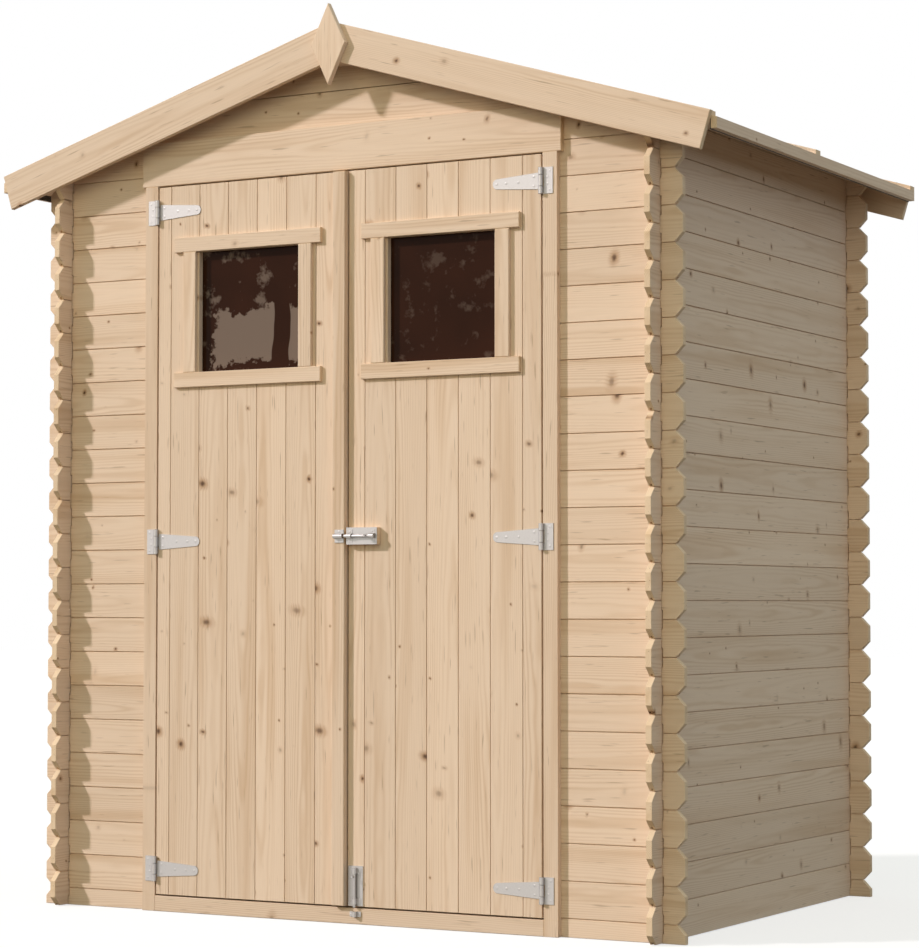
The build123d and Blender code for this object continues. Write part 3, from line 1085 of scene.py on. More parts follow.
    def _side(self, hand: Hand) -> None:
        """A side wall, whose boards lie half a board higher than the front's.

        Its highest board has no tongue, because the roof lies on it.

        Args:
            hand: The side that it is on.
        """
        timber = TimberMesh(f"side_boards_{hand.name.lower()}", 51 + hand.value)
        start = SIZES.half_width - SIZES.board if hand is Hand.RIGHT else -SIZES.half_width
        for row in range(SIZES.courses):
            outline, lifts = self._whole_board(SIZES.half_depth)
            if row == SIZES.courses - 1:
                lifts = lifts * 0
            timber.add_board(outline + (0, (row + 0.5) * SIZES.cover), start, SIZES.board, Facing.SIDE,
                             grain=(0, 1, 0), bevel=self.bevel, lifts=lifts)
        timber.finish_timber("shed", self.finishes, f"{hand.name.lower()}_wall")

    def build(self) -> None:
        """Build every wall."""
        for hand in Hand:
            self._side_panel(hand)
            self._side(hand)
        self._front_gable()
        self._back()


# Doorway frame and floor

@dataclass
class DoorwayFrame:
    """Posts, header and threshold round the doors."""

    finishes: Finishes
    post_width: float = 38.0
    groove_back: float = -587.0
    post_back: float = -571.0
    header_half: float = 610.0
    header_top: float = 1978.0
    bevel: float = 1.2
    foot_bevel: float = 0.6
    foot_lap: float = 1.0
    sill_gap: float = 0.3

    def _post(self, hand: Hand) -> None:
        """A post that grips the ends of the wall's boards.

        Args:
            hand: The post's side.
        """
        s = SIZES
        timber = TimberMesh(f"post_{hand.name.lower()}", 61 + hand.value)
        x0, x1, x2 = s.doorway_half, s.panel_end, s.doorway_half + self.post_width
        section = np.array([(x0, s.frame_face), (x2, s.frame_face), (x2, -s.half_depth), (x1, -s.half_depth),
                            (x1, self.groove_back), (x2, self.groove_back), (x2, self.post_back),
                            (x0, self.post_back)])
        timber.add_board(for_hand(section, hand), s.sill_top, s.doorway_top - s.sill_top, Facing.FLAT,
                         grain=(0, 0, 1))
        foot = rectangle(x0, x2, s.frame_face, -s.half_depth)
        timber.add_board(for_hand(foot, hand), 0, s.sill_top + self.foot_lap, Facing.FLAT,
                         grain=(0, 0, 1), bevel=self.foot_bevel, same_log=True)
        timber.finish_timber("shed", self.finishes, f"door_jamb_{hand.name.lower()}")

    def build(self) -> None:
        """Build the frame."""
        s = SIZES
        for hand in Hand:
            self._post(hand)
        header = TimberMesh("header_board", 71)
        header.add_board(rectangle(-self.header_half, self.header_half, s.doorway_top, self.header_top),
                         s.frame_face, s.board, Facing.FRONT, bevel=self.bevel)
        header.finish_timber("shed", self.finishes, "door_header")
        sill = TimberMesh("threshold", 72)
        half = s.doorway_half - self.sill_gap
        sill.add_board(rectangle(-half, half, 0, s.sill_top), s.frame_face, 2 * s.board, Facing.FRONT,
                       bevel=self.bevel)
        sill.finish_timber("shed", self.finishes, "door_sill")


@dataclass
class FloorDeck:
    """Tongued floor boards on their bearers."""

    finishes: Finishes
    half_x: float = 847.0
    half_y: float = 587.0
    thickness: float = 15.0
    strips: int = 13
    half_gap: float = 0.4
    bearer: float = 45.0
    bearers: int = 5

    def build(self) -> None:
        """Build the floor boards, which run from front to back across the bearers."""
        top = SIZES.sill_top
        boards = TimberMesh("deck_boards", 81)
        edges = np.linspace(-self.half_x, self.half_x, self.strips + 1)
        for x0, x1 in zip(edges[:-1], edges[1:]):
            strip = rectangle(x0 + self.half_gap, x1 - self.half_gap, -self.half_y, self.half_y)
            boards.add_board(strip, top - self.thickness, self.thickness, Facing.FLAT, grain=(0, 1, 0))
        boards.finish_timber("shed", self.finishes, "floor_boards")
        bearers = TimberMesh("deck_bearers", 82)
        half = self.bearer / 2
        for middle in np.linspace(-self.half_y + half, self.half_y - half, self.bearers):
            bearers.add_board(rectangle(-self.half_x, self.half_x, middle - half, middle + half), 0,
                              top - self.thickness, Facing.FLAT)
        bearers.finish_timber("shed", self.finishes, "floor_bearers")


# Roof

@dataclass
class Roof:
    """Boards, felt, battens, eave strips, bargeboards, finials and the ridge beam.

    The felt is folded down between the boards' edge and the eave strip, and its edge hangs out
    a little below the strip. A narrow felt cap laps both slopes at the ridge, under the battens.
    """

    finishes: Finishes
    boards_per_slope: int = 12
    half_gap: float = 0.4
    fold_lap: float = 0.2
    felt: float = 1.5
    felt_bevel: float = 0.3
    felt_gap: float = 0.1
    batten: float = 11.0
    batten_width: float = 30.0
    batten_gap: float = 0.3
    middle_batten: float = -37.0
    eave_strip_height: float = 26.5
    felt_flap: float = 33.0
    cap_reach: float = 165.0
    cap_inset: float = 0.5
    nails: int = 7
    nail_radius: float = 3.4
    nail_crown: float = 0.7
    nail_levels: tuple[float, ...] = (-0.5, 0.5, 0.9)
    nail_margin: float = 45.0
    barge_width: float = 93.0
    barge_thickness: float = 15.0
    barge_foot: float = 1023.0
    barge_gap: float = 0.2
    barge_bevel: float = 1.4
    finial_half: float = 49.0
    finial_top: float = 2270.6
    finial_height: float = 203.0
    finial_thickness: float = 16.0
    finial_bevel: float = 1.2
    beam_height: float = 70.0

    @property
    def _boards_top(self) -> float:
        """Height of the boards' top at the ridge."""
        return SIZES.underside + SIZES.roof_board * SIZES.plumb

    @property
    def _felt_top(self) -> float:
        """Height of the felt's top at the ridge."""
        return self._boards_top + self.felt * SIZES.plumb

    @property
    def _batten_top(self) -> float:
        """Height of the battens' top at the ridge."""
        return self._felt_top + self.batten * SIZES.plumb

    def _layer(self, low: float, high: float, x0: float, x1: float, hand: Hand) -> np.ndarray:
        """A sloping strip's section between two distances from the ridge.

        Args:
            low: Height of its underside at the ridge.
            high: Height of its top at the ridge.
            x0: Its inner edge.
            x1: Its outer edge.
            hand: The slope that it lies on.

        Returns:
            Corners in X and Z, anticlockwise.
        """
        fall = SIZES.fall
        return for_hand(np.array([(x0, low - x0 * fall), (x1, low - x1 * fall), (x1, high - x1 * fall),
                                  (x0, high - x0 * fall)]), hand)

    def _slope(self, hand: Hand) -> None:
        """The boards and the felt of one slope.

        Args:
            hand: The slope's side.
        """
        s = SIZES
        side = hand.name.lower()
        boards = TimberMesh(f"roof_planks_{side}", 91 + hand.value)
        fold = s.roof_edge - self.felt
        edges = np.linspace(0, fold + self.fold_lap, self.boards_per_slope + 1)
        for x0, x1 in zip(edges[:-1], edges[1:]):
            section = self._layer(s.underside, self._boards_top, x0 + self.half_gap, x1 - self.half_gap, hand)
            boards.add_board(section, -s.roof_end, 2 * s.roof_end, Facing.FRONT, grain=(0, 1, 0))
        boards.finish_timber("shed", self.finishes, f"roof_boards_{side}")
        felt = PieceMesh(f"felt_sheet_{side}")
        edge, corner = s.roof_edge - self.felt_gap, self._felt_top - s.roof_edge * s.fall
        foot = corner - self.felt_flap
        section = np.array([(0, self._boards_top), (fold, self._boards_top - fold * s.fall), (fold, foot),
                            (edge, foot), (edge, corner), (0, self._felt_top)])
        felt.add_plate(for_hand(section, hand), -s.roof_end, 2 * s.roof_end, Facing.FRONT,
                       bevel=self.felt_bevel)
        felt.finish("shed", "roofing_felt", self.finishes.felt, f"roof_felt_{side}")

    def _cap(self) -> None:
        """The felt cap: an even layer that falls from the ridge to both sides."""
        low = self._felt_top
        high = low + self.felt * SIZES.plumb
        drop = self.cap_reach * SIZES.fall
        section = np.array([(-self.cap_reach, low - drop), (0, low), (self.cap_reach, low - drop),
                            (self.cap_reach, high - drop), (0, high), (-self.cap_reach, high - drop)])
        cap = PieceMesh("felt_cap")
        half_length = SIZES.roof_end - self.cap_inset
        cap.add_plate(section, -half_length, 2 * half_length, Facing.FRONT, bevel=self.felt_bevel)
        cap.finish("shed", "roofing_felt", self.finishes.felt)

    def _nail_row(self, mesh: PieceMesh, middle: float, reach: float, hand: Hand) -> None:
        """Nail heads along one batten: small circles carried a little way out of its top.

        Args:
            mesh: The mesh that takes them.
            middle: The batten's middle along Y.
            reach: Distance of the batten's end from the ridge.
            hand: The slope that it lies on.
        """
        s = SIZES
        out = (hand.value * math.sin(s.slope), 0, math.cos(s.slope))
        axes = np.array([s.down(hand), (0, 1, 0), out])
        rim = arc((0, 0), self.nail_radius, 0, 330, 12)
        rings = np.stack([rim, rim, inset(rim, self.nail_crown)])
        points, faces = PieceMesh.carried(rings, np.array(self.nail_levels), axes)
        for distance in np.linspace(self.nail_margin, reach - self.nail_margin, self.nails):
            place = (hand.value * distance, middle, self._batten_top - distance * s.fall)
            mesh.put(points + np.array(place), faces)

    def _strips(self) -> None:
        """The battens on the felt with their nails, and the strips along the eaves."""
        s = SIZES
        battens = TimberMesh("felt_battens", 101)
        strips = TimberMesh("eave_boards", 102)
        nails = PieceMesh("batten_nails")
        rows = ((-s.roof_end, s.roof_edge), (self.middle_batten - self.batten_width / 2, s.eave_edge),
                (s.roof_end - self.batten_width, s.eave_edge))
        for hand in Hand:
            for start, reach in rows:
                section = self._layer(self._felt_top, self._batten_top, self.batten_gap, reach, hand)
                battens.add_board(section, start, self.batten_width, Facing.FRONT, grain=s.down(hand))
                self._nail_row(nails, start + self.batten_width / 2, reach, hand)
            outer = self._felt_top - s.eave_edge * s.fall
            section = np.array([(s.roof_edge, outer - self.eave_strip_height),
                                (s.eave_edge, outer - self.eave_strip_height), (s.eave_edge, outer),
                                (s.roof_edge, self._felt_top - s.roof_edge * s.fall)])
            strips.add_board(for_hand(section, hand), -s.roof_end, 2 * s.roof_end, Facing.FRONT,
                             grain=(0, 1, 0))
        battens.finish_timber("shed", self.finishes, "roof_battens")
        nails.finish("shed", "zinc_steel", self.finishes.zinc)
        strips.finish_timber("shed", self.finishes, "eave_strips")

    def _bargeboard(self, hand: Hand, start: float, name: str, node: str, seed: int) -> None:
        """A bargeboard, square cut at its foot and plumb cut at the ridge.

        Args:
            hand: The slope that it follows.
            start: Where it starts along Y.
            name: The object's name.
            node: The node that it stands for.
            seed: Fixes its grain.
        """
        s = SIZES
        timber = TimberMesh(name, seed)
        foot = np.array([self.barge_foot, self._batten_top - self.barge_foot * s.fall])
        inward = -self.barge_width * np.array([math.sin(s.slope), math.cos(s.slope)])
        outline = np.array([(self.barge_gap, self._batten_top - self.barge_width * s.plumb),
                            foot + inward, foot, (self.barge_gap, self._batten_top)])
        timber.add_board(for_hand(outline, hand), start, self.barge_thickness, Facing.FRONT,
                         grain=s.down(hand), bevel=self.barge_bevel)
        timber.finish_timber("shed", self.finishes, node)

    def _finials(self) -> None:
        """The diamond boards that cover both ends of the ridge."""
        s = SIZES
        middle = self.finial_top - self.finial_height / 2
        diamond = np.array([(0, self.finial_top - self.finial_height), (self.finial_half, middle),
                            (0, self.finial_top), (-self.finial_half, middle)])
        front = -s.roof_end - self.barge_thickness - self.finial_thickness
        for name, start, node in (("finial_at_front", front, "front_finial"),
                                  ("finial_at_rear", s.roof_end + self.barge_thickness, "rear_finial")):
            timber = TimberMesh(name, 121)
            timber.add_board(diamond, start, self.finial_thickness, Facing.FRONT, grain=(0, 0, 1),
                             bevel=self.finial_bevel)
            timber.finish_timber("shed", self.finishes, node)

    def _beam(self) -> None:
        """The ridge beam, whose top follows both slopes."""
        s = SIZES
        beam = TimberMesh("ridge_purlin", 122)
        low = s.underside - self.beam_height
        edge = s.underside - s.beam_half * s.fall
        section = np.array([(-s.beam_half, low), (s.beam_half, low), (s.beam_half, edge),
                            (0, s.underside), (-s.beam_half, edge)])
        beam.add_board(section, -s.roof_end, 2 * s.roof_end, Facing.FRONT, grain=(0, 1, 0))
        beam.finish_timber("shed", self.finishes, "ridge_beam")

    def build(self) -> None:
        """Build the roof."""
        front, rear = -SIZES.roof_end - self.barge_thickness, SIZES.roof_end
        for hand in Hand:
            side = hand.name.lower()
            self._slope(hand)
            self._bargeboard(hand, front, f"barge_front_{side}", f"front_bargeboard_{side}", 111 + hand.value)
            self._bargeboard(hand, rear, f"barge_rear_{side}", f"rear_bargeboard_{side}", 114 + hand.value)
        self._cap()
        self._strips()
        self._finials()
        self._beam()


# Doors

@dataclass
class DoorLeaf:
    """A boarded door with its window, its ledges and, on the left one, the cover strip."""

    finishes: Finishes
    hand: Hand
    free_edge: float
    first_seam: float
    seams: int = 6
    half_gap: float = 0.65
    bevel: float = 0.8
    window_width: float = 311.0
    window_top: float = 1686.5
    window_height: float = 310.0
    step: float = 6.0
    trim: float = 38.0
    trim_depth: float = 10.0
    trim_bevel: float = 1.3
    trim_gap: float = 0.3
    rail_reach: float = 28.0
    glass: float = 3.0
    glass_lap: float = 12.0
    glass_gap: float = 0.05
    ledge_height: float = 70.0
    ledge_inset: float = 30.0
    strip_width: float = 36.0
    strip_bevel: float = 1.5

    @property
    def _side(self) -> str:
        """The leaf's side as a word."""
        return self.hand.name.lower()

    @property
    def _body(self) -> str:
        """The body that the leaf's pieces ride on."""
        return f"{self._side}_leaf"

    @property
    def _window(self) -> tuple[float, float, float, float]:
        """The space inside the trim.

        Returns:
            Its left, right, bottom and top.
        """
        middle = self.hand.value * SIZES.doorway_half / 2
        return (middle - self.window_width / 2, middle + self.window_width / 2,
                self.window_top - self.window_height, self.window_top)

    def _leaf(self) -> None:
        """The leaf's boards, cut round the window."""
        s = SIZES
        w0, w1, low, high = self._window
        w0, w1 = w0 + self.step, w1 - self.step
        z0, z1 = s.door_low - s.door_fit, s.door_high + s.door_fit
        hinge_edge = self.hand.value * (s.door_half + s.door_fit)
        seams = self.hand.value * (self.first_seam + s.cover * np.arange(self.seams))
        edges = sorted((hinge_edge, *seams, self.free_edge))
        timber = TimberMesh(f"leaf_boards_{self._side}", 131 + self.hand.value)
        for left, right in zip(edges[:-1], edges[1:]):
            x0, x1 = left + self.half_gap, right - self.half_gap
            if x1 <= w0 or x0 >= w1:
                outlines = [rectangle(x0, x1, z0, z1)]
            elif x0 >= w0 and x1 <= w1:
                outlines = [rectangle(x0, x1, z0, low), rectangle(x0, x1, high, z1)]
            elif x0 < w0:
                outlines = [np.array([(x0, z0), (x1, z0), (x1, low), (w0, low), (w0, high), (x1, high),
                                      (x1, z1), (x0, z1)])]
            else:
                outlines = [np.array([(x0, z0), (x1, z0), (x1, z1), (x0, z1), (x0, high), (w1, high),
                                      (w1, low), (x0, low)])]
            for index, outline in enumerate(outlines):
                timber.add_board(outline, s.frame_face, s.board, Facing.FRONT, grain=(0, 0, 1),
                                 bevel=self.bevel, same_log=index > 0)
        timber.finish_timber(self._body, self.finishes, f"{self._side}_door")

    def _frame(self, timber: TimberMesh, start: float, depth: float, reach: float) -> None:
        """Two rails and two stiles round the window.

        Args:
            timber: The mesh that takes them.
            start: Where they start along Y.
            depth: Their thickness.
            reach: How far the rails run past the stiles.
        """
        w0, w1, low, high = self._window
        x0, x1 = w0 - self.trim - reach, w1 + self.trim + reach
        for bottom, top in ((high, high + self.trim), (low - self.trim, low)):
            timber.add_board(rectangle(x0, x1, bottom, top), start, depth, Facing.FRONT,
                             bevel=self.trim_bevel)
        for left, right in ((w0 - self.trim, w0), (w1, w1 + self.trim)):
            timber.add_board(rectangle(left, right, low + self.trim_gap, high - self.trim_gap), start, depth,
                             Facing.FRONT, grain=(0, 0, 1), bevel=self.trim_bevel)

    def _inside(self) -> None:
        """The ledges on the back, and the frame that holds the pane."""
        s = SIZES
        timber = TimberMesh(f"ledges_{self._side}", 141 + self.hand.value)
        left, right = sorted((self.hand.value * s.door_half, self.free_edge))
        for height in s.hinge_heights:
            ledge = rectangle(left + self.ledge_inset, right - self.ledge_inset,
                              height - self.ledge_height / 2, height + self.ledge_height / 2)
            timber.add_board(ledge, s.door_back, s.board, Facing.FRONT, bevel=self.trim_bevel)
        self._frame(timber, s.door_back + self.glass, s.board - self.glass, 0.0)
        timber.finish_timber(self._body, self.finishes, f"{self._side}_door_ledges")

    def _pane(self) -> None:
        """The sheet of glass behind the boards, which laps their opening all round."""
        w0, w1, low, high = self._window
        lap, gap = self.glass_lap, self.glass_gap
        pane = PieceMesh(f"pane_{self._side}")
        pane.add_plate(rectangle(w0 - lap, w1 + lap, low - lap, high + lap), SIZES.door_back + gap,
                       self.glass - 2 * gap, Facing.FRONT)
        # The glass's colour is painted: shade of the dark interior and a reflection of trees and sky.
        pane.finish(self._body, "tinted_glass", self.finishes.pane, f"{self._side}_window_glass")

    def _strip(self) -> None:
        """The cover strip, flush with the leaf's free edge."""
        s = SIZES
        strip = TimberMesh("meeting_strip", 161)
        outline = rectangle(self.free_edge - self.strip_width, self.free_edge, s.door_low, s.door_high)
        strip.add_board(outline, s.frame_face - s.board, s.board, Facing.FRONT, grain=(0, 0, 1),
                        bevel=self.strip_bevel)
        strip.finish_timber(self._body, self.finishes, "cover_strip")

    def build(self) -> None:
        """Build the leaf."""
        self._leaf()
        trim = TimberMesh(f"window_frame_{self._side}", 151 + self.hand.value)
        self._frame(trim, SIZES.frame_face - self.trim_depth, self.trim_depth, self.rail_reach)
        trim.finish_timber(self._body, self.finishes, f"{self._side}_window_trim")
        self._inside()
        self._pane()
        if self.hand is Hand.LEFT:
            self._strip()


# Metal

def add_screw(metal: PieceMesh, x: float, face: float, z: float, radius: float = 3.4) -> None:
    """Add a screw whose low rounded head stands out of a face towards the front.

    Its profile is a short rim, a quarter of an ellipse and a round socket that narrows inwards.

    Args:
        metal: The mesh that takes it.
        x: Its place across.
        face: The face's Y.
        z: Its height.
        radius: Radius of its head.
    """
    rim, rise, socket, socket_foot = 0.1, 0.4, 1.2, 0.9
    angle = np.radians(np.linspace(0, 90, 5))[:-1]
    dome = np.stack([rim + rise * np.sin(angle), radius * np.cos(angle)], 1)
    profile = np.concatenate([[(0.0, radius)], dome, [(rim + rise, socket), (rim, socket_foot)]])
    metal.add_turned(profile, (x, face, z), (0, -1, 0), sides=14)


@dataclass
class StrapHinges:
    """Three tapered strap hinges on one door, with their plates on the post.

    A plate's screws are given as shares of its half height and how far each stands aside, and a
    strap's as distances from the pin and from its middle line.
    """

    finishes: Finishes
    hand: Hand
    pin: float = 558.5
    metal: float = 2.0
    barrel: float = 6.0
    rounding: float = 0.7
    clearance: float = 0.5
    plate_height: float = 64.0
    plate_reach: float = 30.5
    knuckle_share: float = 0.28
    length: float = 132.5
    root: float = 41.0
    tip: float = 25.0
    screw_line: float = 0.55
    plate_screw: float = 2.9
    plate_screws: tuple[tuple[float, float], ...] = ((-0.72, 3), (-0.25, -3), (0.25, -3), (0.72, 3))
    strap_screws: tuple[tuple[float, float], ...] = ((20, 11), (20, -11), (62, 0), (96, 0), (121, 0))

    @property
    def _knuckle(self) -> float:
        """Height of a plate's knuckle."""
        return self.plate_height * self.knuckle_share

    @property
    def _front(self) -> float:
        """Y of the plates' and straps' outer faces."""
        return SIZES.frame_face - self.metal

    def _barrel(self, mesh: PieceMesh, low: float, high: float) -> None:
        """Add a knuckle with rounded edges.

        Args:
            mesh: The mesh that takes it.
            low: Height of its lower end.
            high: Height of its upper end.
        """
        r, edge, height = self.barrel, self.rounding, high - low
        profile = np.array([(0, r - edge), (edge, r), (height - edge, r), (height, r - edge)])
        mesh.add_turned(profile, (self.hand.value * self.pin, SIZES.frame_face - r, low), (0, 0, 1), sides=24)

    def plates(self, mesh: PieceMesh) -> None:
        """Add the post plates and their outer knuckles to a mesh.

        Args:
            mesh: The mesh that takes them.
        """
        half, knuckle = self.plate_height / 2, self._knuckle
        edge = self.pin + self.plate_reach
        notch = self.pin + self.barrel + self.clearance
        screws = self.pin + self.barrel + (self.plate_reach - self.barrel) * self.screw_line
        for height in SIZES.hinge_heights:
            low, high = height - half, height + half
            outline = np.array([(self.pin, low), (edge, low), (edge, high), (self.pin, high),
                                (self.pin, high - knuckle), (notch, high - knuckle), (notch, low + knuckle),
                                (self.pin, low + knuckle)])
            mesh.add_plate(for_hand(outline, self.hand), self._front, self.metal, Facing.FRONT)
            self._barrel(mesh, low, low + knuckle)
            self._barrel(mesh, high - knuckle, high)
            for share, aside in self.plate_screws:
                add_screw(mesh, self.hand.value * (screws + aside), self._front, height + share * half,
                          self.plate_screw)

    def straps(self) -> None:
        """Make the straps with their middle knuckles."""
        side = self.hand.name.lower()
        mesh = PieceMesh(f"hinge_straps_{side}")
        middle = self.plate_height / 2 - self._knuckle - self.clearance
        inner = self.pin - self.barrel - self.clearance
        root, end = self.root / 2, self.tip / 2
        tip = arc((self.pin - self.length + end, 0), end, 90, 270, 15)
        outline = np.concatenate([[(self.pin, -middle), (self.pin, middle), (inner, middle), (inner, root)],
                                  tip, [(inner, -root), (inner, -middle)]])
        for height in SIZES.hinge_heights:
            mesh.add_plate(for_hand(outline + (0, height), self.hand), self._front, self.metal, Facing.FRONT)
            self._barrel(mesh, height - middle, height + middle)
            for distance, offset in self.strap_screws:
                add_screw(mesh, self.hand.value * (self.pin - distance), self._front, height + offset)
        mesh.finish(f"{side}_leaf", "zinc_steel", self.finishes.zinc, f"{side}_door_straps")


@dataclass
class BarrelBolt:
    """A sliding bolt: plate, two guides, rod with a knob, and the keeper that takes it.

    The rod's and the knob's ends are given as places along them, the knob's as shares of its
    length, each with how much thinner the piece is there.
    """

    finishes: Finishes
    throw: Throw
    name: str
    start: tuple[float, float, float]
    length: float
    keeper_start: tuple[float, float, float]
    keeper_length: float
    keeper_body: str
    keeper_node: str
    half_width: float = 21.0
    metal: float = 2.0
    rod: float = 4.0
    rod_lift: float = 5.5
    rest: float = 3.0
    guide: float = 14.0
    margin: float = 5.0
    clearance: float = 0.4
    strap: float = 1.6
    sole_share: float = 0.6
    foot_inset: float = 5.0
    plate_bevel: float = 0.4
    strap_bevel: float = 0.3
    screw: float = 2.6
    keeper_half: float = 16.0
    rod_tip: tuple[tuple[float, float], ...] = ((0.0, 1.2), (0.5, 0.4), (1.4, 0.0))
    rod_end: tuple[tuple[float, float], ...] = ((0.8, 0.0), (0.0, 0.8))
    knob: float = 3.5
    knob_length: float = 14.0
    knob_shape: tuple[tuple[float, float], ...] = ((0.0, 1.3), (0.45, 1.3), (0.55, 0.4), (0.65, 0.0),
                                                   (0.9, 0.0), (1.0, 1.2))

    @property
    def _lift(self) -> float:
        """Height of the rod's axis over the face that the bolt is screwed to."""
        return self.metal + self.rod_lift

    def _carry(self, mesh: PieceMesh, section: np.ndarray, low: float, high: float,
               origin: tuple[float, float, float], bevel: float) -> None:
        """Add a section, given across and outwards, carried along the bolt.

        Args:
            mesh: The mesh that takes it.
            section: Points in order, anticlockwise.
            low: Where it starts along the bolt.
            high: Where it ends.
            origin: The bolt's place.
            bevel: Size of the bevels at its ends.
        """
        outer = inset(section, bevel)
        depths = np.array([low, low + bevel, high - bevel, high])
        points, faces = PieceMesh.carried(np.stack([outer, section, section, outer]), depths, self.throw.axes)
        mesh.put(points + np.array(origin), faces)

    def _saddle(self, mesh: PieceMesh, low: float, high: float, foot: float,
                origin: tuple[float, float, float]) -> None:
        """A bent strip over the rod with a screwed foot on each side.

        Its section is an arch of two arcs round the rod, with flat feet that run out sideways.

        Args:
            mesh: The mesh that takes it.
            low: Where it starts along the bolt.
            high: Where it ends.
            foot: Half the width over its feet.
            origin: The bolt's place.
        """
        inner = self.rod + self.clearance
        outer = inner + self.strap
        sole = self.metal * self.sole_share
        top = sole + self.strap
        section = np.concatenate([[(foot, sole), (foot, top), (outer, top)],
                                  arc((0, self._lift), outer, 0, 180, 13),
                                  [(-outer, top), (-foot, top), (-foot, sole), (-inner, sole)],
                                  arc((0, self._lift), inner, 180, 0, 13), [(inner, sole)]])
        self._carry(mesh, section, low, high, origin, self.strap_bevel)
        middle = (outer + foot) / 2
        for side in (-1, 1):
            place = np.array([side * middle, top, (low + high) / 2]) @ self.throw.axes + np.array(origin)
            add_screw(mesh, *place, self.screw)

    def _case(self) -> None:
        """The plate with its two guides."""
        mesh = PieceMesh(f"{self.name}_guides")
        self._carry(mesh, rectangle(-self.half_width, self.half_width, 0, self.metal), 0, self.length,
                    self.start, self.plate_bevel)
        for low in (self.margin, self.length - self.margin - self.guide):
            self._saddle(mesh, low, low + self.guide, self.half_width - self.foot_inset, self.start)
        mesh.finish("right_leaf", "zinc_steel", self.finishes.zinc, f"{self.name}_case")

    def _rod(self) -> None:
        """The rod with its rounded tip, and the knob that pulls it."""
        mesh = PieceMesh(f"{self.name}_bar")
        full = self.length - self.margin + self.rest
        rod = np.array([(place, self.rod - thinner) for place, thinner in self.rod_tip]
                       + [(full - place, self.rod - thinner) for place, thinner in self.rod_end])
        knob = np.array([(self.knob_length * share, self.knob - thinner)
                         for share, thinner in self.knob_shape])
        knob_at = self.length - self.margin - self.guide - 2 * self.knob
        _, out, along = self.throw.axes
        axis = np.array(self.start) + self._lift * out
        mesh.add_turned(rod, tuple(axis - self.rest * along), tuple(along), sides=20)
        mesh.add_turned(knob, tuple(axis + knob_at * along), tuple(out), sides=20)
        mesh.finish(self.name, "zinc_steel", self.finishes.zinc, f"{self.name}_rod")

    def build(self) -> None:
        """Build the bolt and its keeper."""
        self._case()
        self._rod()
        keeper = PieceMesh(f"{self.name}_catch")
        self._saddle(keeper, 0, self.keeper_length, self.keeper_half, self.keeper_start)
        keeper.finish(self.keeper_body, "zinc_steel", self.finishes.zinc, self.keeper_node)


@dataclass
class LatchPacker:
    """The wooden block that brings the latch level with the meeting strip."""

    finishes: Finishes
    left: float = 23.0
    length: float = 88.0
    half_height: float = 21.0

    @property
    def place(self) -> tuple[float, float, float]:
        """Where the latch starts: at the block's left end, on its face, at its middle height."""
        return (self.left, SIZES.frame_face - SIZES.board, SIZES.door_middle)

    def build(self) -> None:
        """Build the block."""
        timber = TimberMesh("latch_block", 171)
        left, face, middle = self.place
        timber.add_board(rectangle(left, left + self.length, middle - self.half_height,
                                   middle + self.half_height), face, SIZES.board, Facing.FRONT)
        timber.finish_timber("right_leaf", self.finishes, "latch_packer")


# Studio

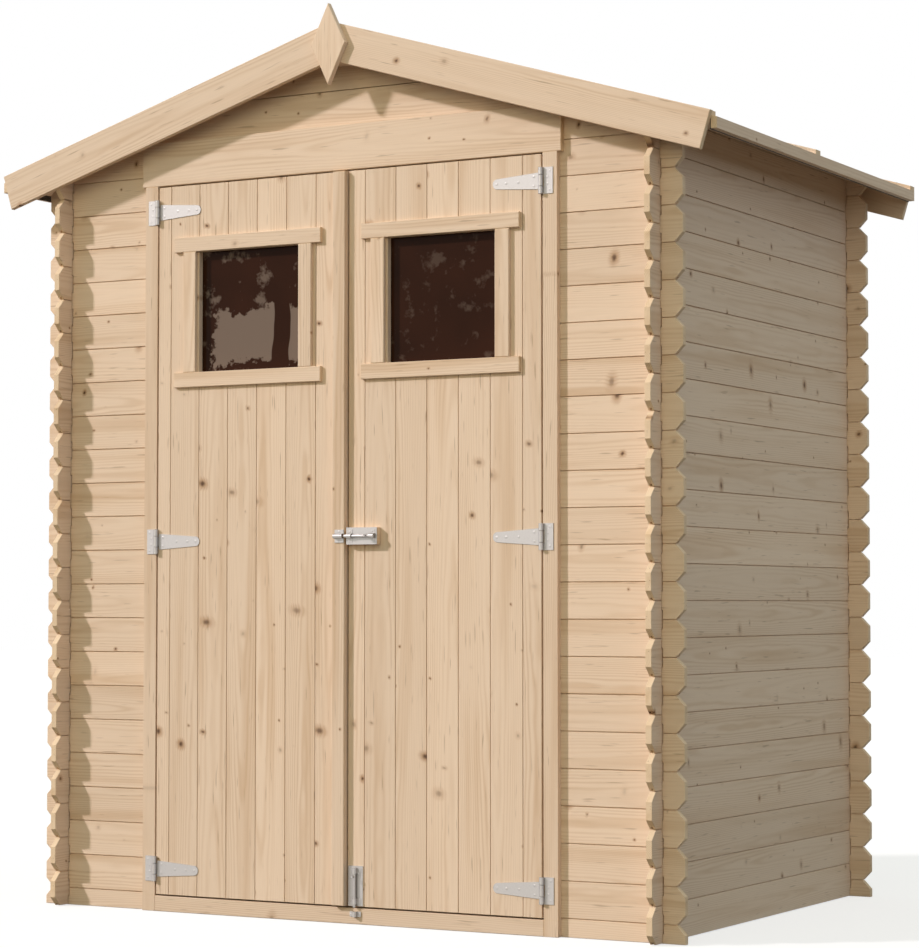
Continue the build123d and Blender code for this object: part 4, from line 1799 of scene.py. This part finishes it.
@dataclass
class Studio:
    """A pale floor, a key lamp from the upper left, two weak fills, even sky light and the camera.

    Places and the floor's size are in metres, and angles in degrees.
    """

    camera_place: tuple[float, float, float] = (3.5682, -6.4047, 0.7857)
    camera_turn: float = 29.21
    camera_lift: float = 2.70
    lens: float = 104.19
    sensor: float = 36.0
    sun_towards: tuple[float, float, float] = (109.0, 88.0, -81.0)
    sun_strength: float = 2.4
    sun_spread: float = 4.0
    front_towards: tuple[float, float, float] = (-0.1, 1.0, -0.15)
    front_strength: float = 0.63
    right_towards: tuple[float, float, float] = (-1.0, 0.1, -0.25)
    right_strength: float = 0.25
    soft_spread: float = 50.0
    sky_strength: float = 0.528
    floor_half: float = 30.0
    floor_low: float = 0.001
    floor_roughness: float = 0.9
    floor_colour: str = "#5D554A"
    floor_white: float = 1.12
    floor_share: float = 0.6
    sky_colour: str = "#FAFFEF"
    sun_colour: str = "#FFF7FA"
    front_colour: str = "#FFEAB0"
    right_colour: str = "#A0C0FF"

    def _floor(self) -> None:
        """A wide floor that stays near white to the camera and keeps the shadow."""
        corners = rectangle(-self.floor_half, self.floor_half, -self.floor_half, self.floor_half)
        mesh = bpy.data.meshes.new("studio_floor")
        mesh.from_pydata([(x, y, -self.floor_low) for x, y in corners], [], [(0, 1, 2, 3)])
        floor = bpy.data.objects.new("studio_floor", mesh)
        bpy.context.scene.collection.objects.link(floor)
        material, tree, shader = new_material("studio_floor")
        seen = self._seen(tree)
        colour = add_node(tree, "Mix", {0: seen, 6: linear(self.floor_colour), 7: (1.0, 1.0, 1.0, 1.0)},
                          data_type="RGBA")[2]
        tree.links.new(colour, shader.inputs["Base Color"])
        shader.inputs["Roughness"].default_value = self.floor_roughness
        shader.inputs["Specular IOR Level"].default_value = 0.0
        white = add_node(tree, "Emission", {"Strength": self.floor_white})[0]
        share = add_node(tree, "Math", (seen, self.floor_share), operation="MULTIPLY")[0]
        mix = add_node(tree, "MixShader", (share, shader.outputs[0], white))[0]
        tree.links.new(mix, tree.nodes["Material Output"].inputs["Surface"])
        mesh.materials.append(material)

    def _seen(self, tree: bpy.types.NodeTree) -> bpy.types.NodeSocket:
        """1 for what the camera sees straight, mirrored or through glass, and 0 for light.

        Args:
            tree: The node tree.

        Returns:
            The socket that gives it.
        """
        rays = add_node(tree, "LightPath")
        seen = rays["Is Camera Ray"]
        for ray in ("Is Glossy Ray", "Is Transmission Ray"):
            seen = add_node(tree, "Math", (seen, rays[ray]), operation="MAXIMUM")[0]
        return seen

    def _sky(self) -> None:
        """Even light from all round; the camera, gloss and glass see plain white."""
        world = bpy.data.worlds.new("studio_sky")
        world.use_nodes = True
        bpy.context.scene.world = world
        tree = world.node_tree
        tree.nodes.clear()
        light = add_node(tree, "Background", {"Color": linear(self.sky_colour),
                                              "Strength": self.sky_strength})[0]
        white = add_node(tree, "Background", {"Color": (1.0, 1.0, 1.0, 1.0), "Strength": 1.0})[0]
        mix = add_node(tree, "MixShader", (self._seen(tree), light, white))[0]
        add_node(tree, "OutputWorld", (mix,))

    def _lamp(self, name: str, towards: tuple[float, float, float], strength: float, spread: float,
              colour: str) -> None:
        """Add a distant lamp.

        Args:
            name: Its name.
            towards: The way that its light travels.
            strength: Its strength.
            spread: The angle that it fills in the sky, in degrees.
            colour: Its colour.
        """
        lamp = bpy.data.lights.new(name, "SUN")
        lamp.energy = strength
        lamp.angle = math.radians(spread)
        lamp.color = linear(colour)[:3]
        sun = bpy.data.objects.new(name, lamp)
        x, y, z = towards
        sun.rotation_euler = (math.atan2(math.hypot(x, y), -z), 0, math.atan2(y, x) - math.pi / 2)
        bpy.context.scene.collection.objects.link(sun)

    def _camera(self) -> None:
        """The camera at the photograph's angle."""
        data = bpy.data.cameras.new("camera")
        data.sensor_fit = "VERTICAL"
        data.sensor_height = self.sensor
        data.lens = self.lens
        camera = bpy.data.objects.new("camera", data)
        camera.location = self.camera_place
        camera.rotation_euler = (math.radians(90 + self.camera_lift), 0, math.radians(self.camera_turn))
        bpy.context.scene.collection.objects.link(camera)
        bpy.context.scene.camera = camera

    def build(self) -> None:
        """Set up floor, light and camera."""
        bpy.context.scene.view_settings.view_transform = "Standard"
        self._floor()
        self._sky()
        self._lamp("key_lamp", self.sun_towards, self.sun_strength, self.sun_spread, self.sun_colour)
        self._lamp("front_fill", self.front_towards, self.front_strength, self.soft_spread, self.front_colour)
        self._lamp("right_fill", self.right_towards, self.right_strength, self.soft_spread, self.right_colour)
        self._camera()


def main() -> None:
    """Build every sub-assembly in order."""
    logging.basicConfig(level=logging.INFO, format="%(message)s")
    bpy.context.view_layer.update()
    finishes = Finishes()
    Studio().build()
    Walls(finishes).build()
    DoorwayFrame(finishes).build()
    FloorDeck(finishes).build()
    Roof(finishes).build()
    DoorLeaf(finishes, Hand.LEFT, free_edge=16.5, first_seam=78.0).build()
    DoorLeaf(finishes, Hand.RIGHT, free_edge=18.5, first_seam=66.0).build()
    plates = PieceMesh("hinge_post_plates")
    for hand in Hand:
        hinges = StrapHinges(finishes, hand)
        hinges.plates(plates)
        hinges.straps()
    plates.finish("shed", "zinc_steel", finishes.zinc, "hinge_plates")
    packer = LatchPacker(finishes)
    packer.build()
    BarrelBolt(finishes, Throw.LEFT, "latch", start=packer.place, length=packer.length,
               keeper_start=(-10.0, *packer.place[1:]), keeper_length=26.0, keeper_body="left_leaf",
               keeper_node="latch_keeper").build()
    BarrelBolt(finishes, Throw.DOWN, "foot_bolt", start=(42.0, SIZES.frame_face, 44.5), length=98.0,
               keeper_start=(42.0, SIZES.frame_face, 18.5), keeper_length=13.0, keeper_body="shed",
               keeper_node="sill_keeper").build()


if __name__ == "__main__":
    main()
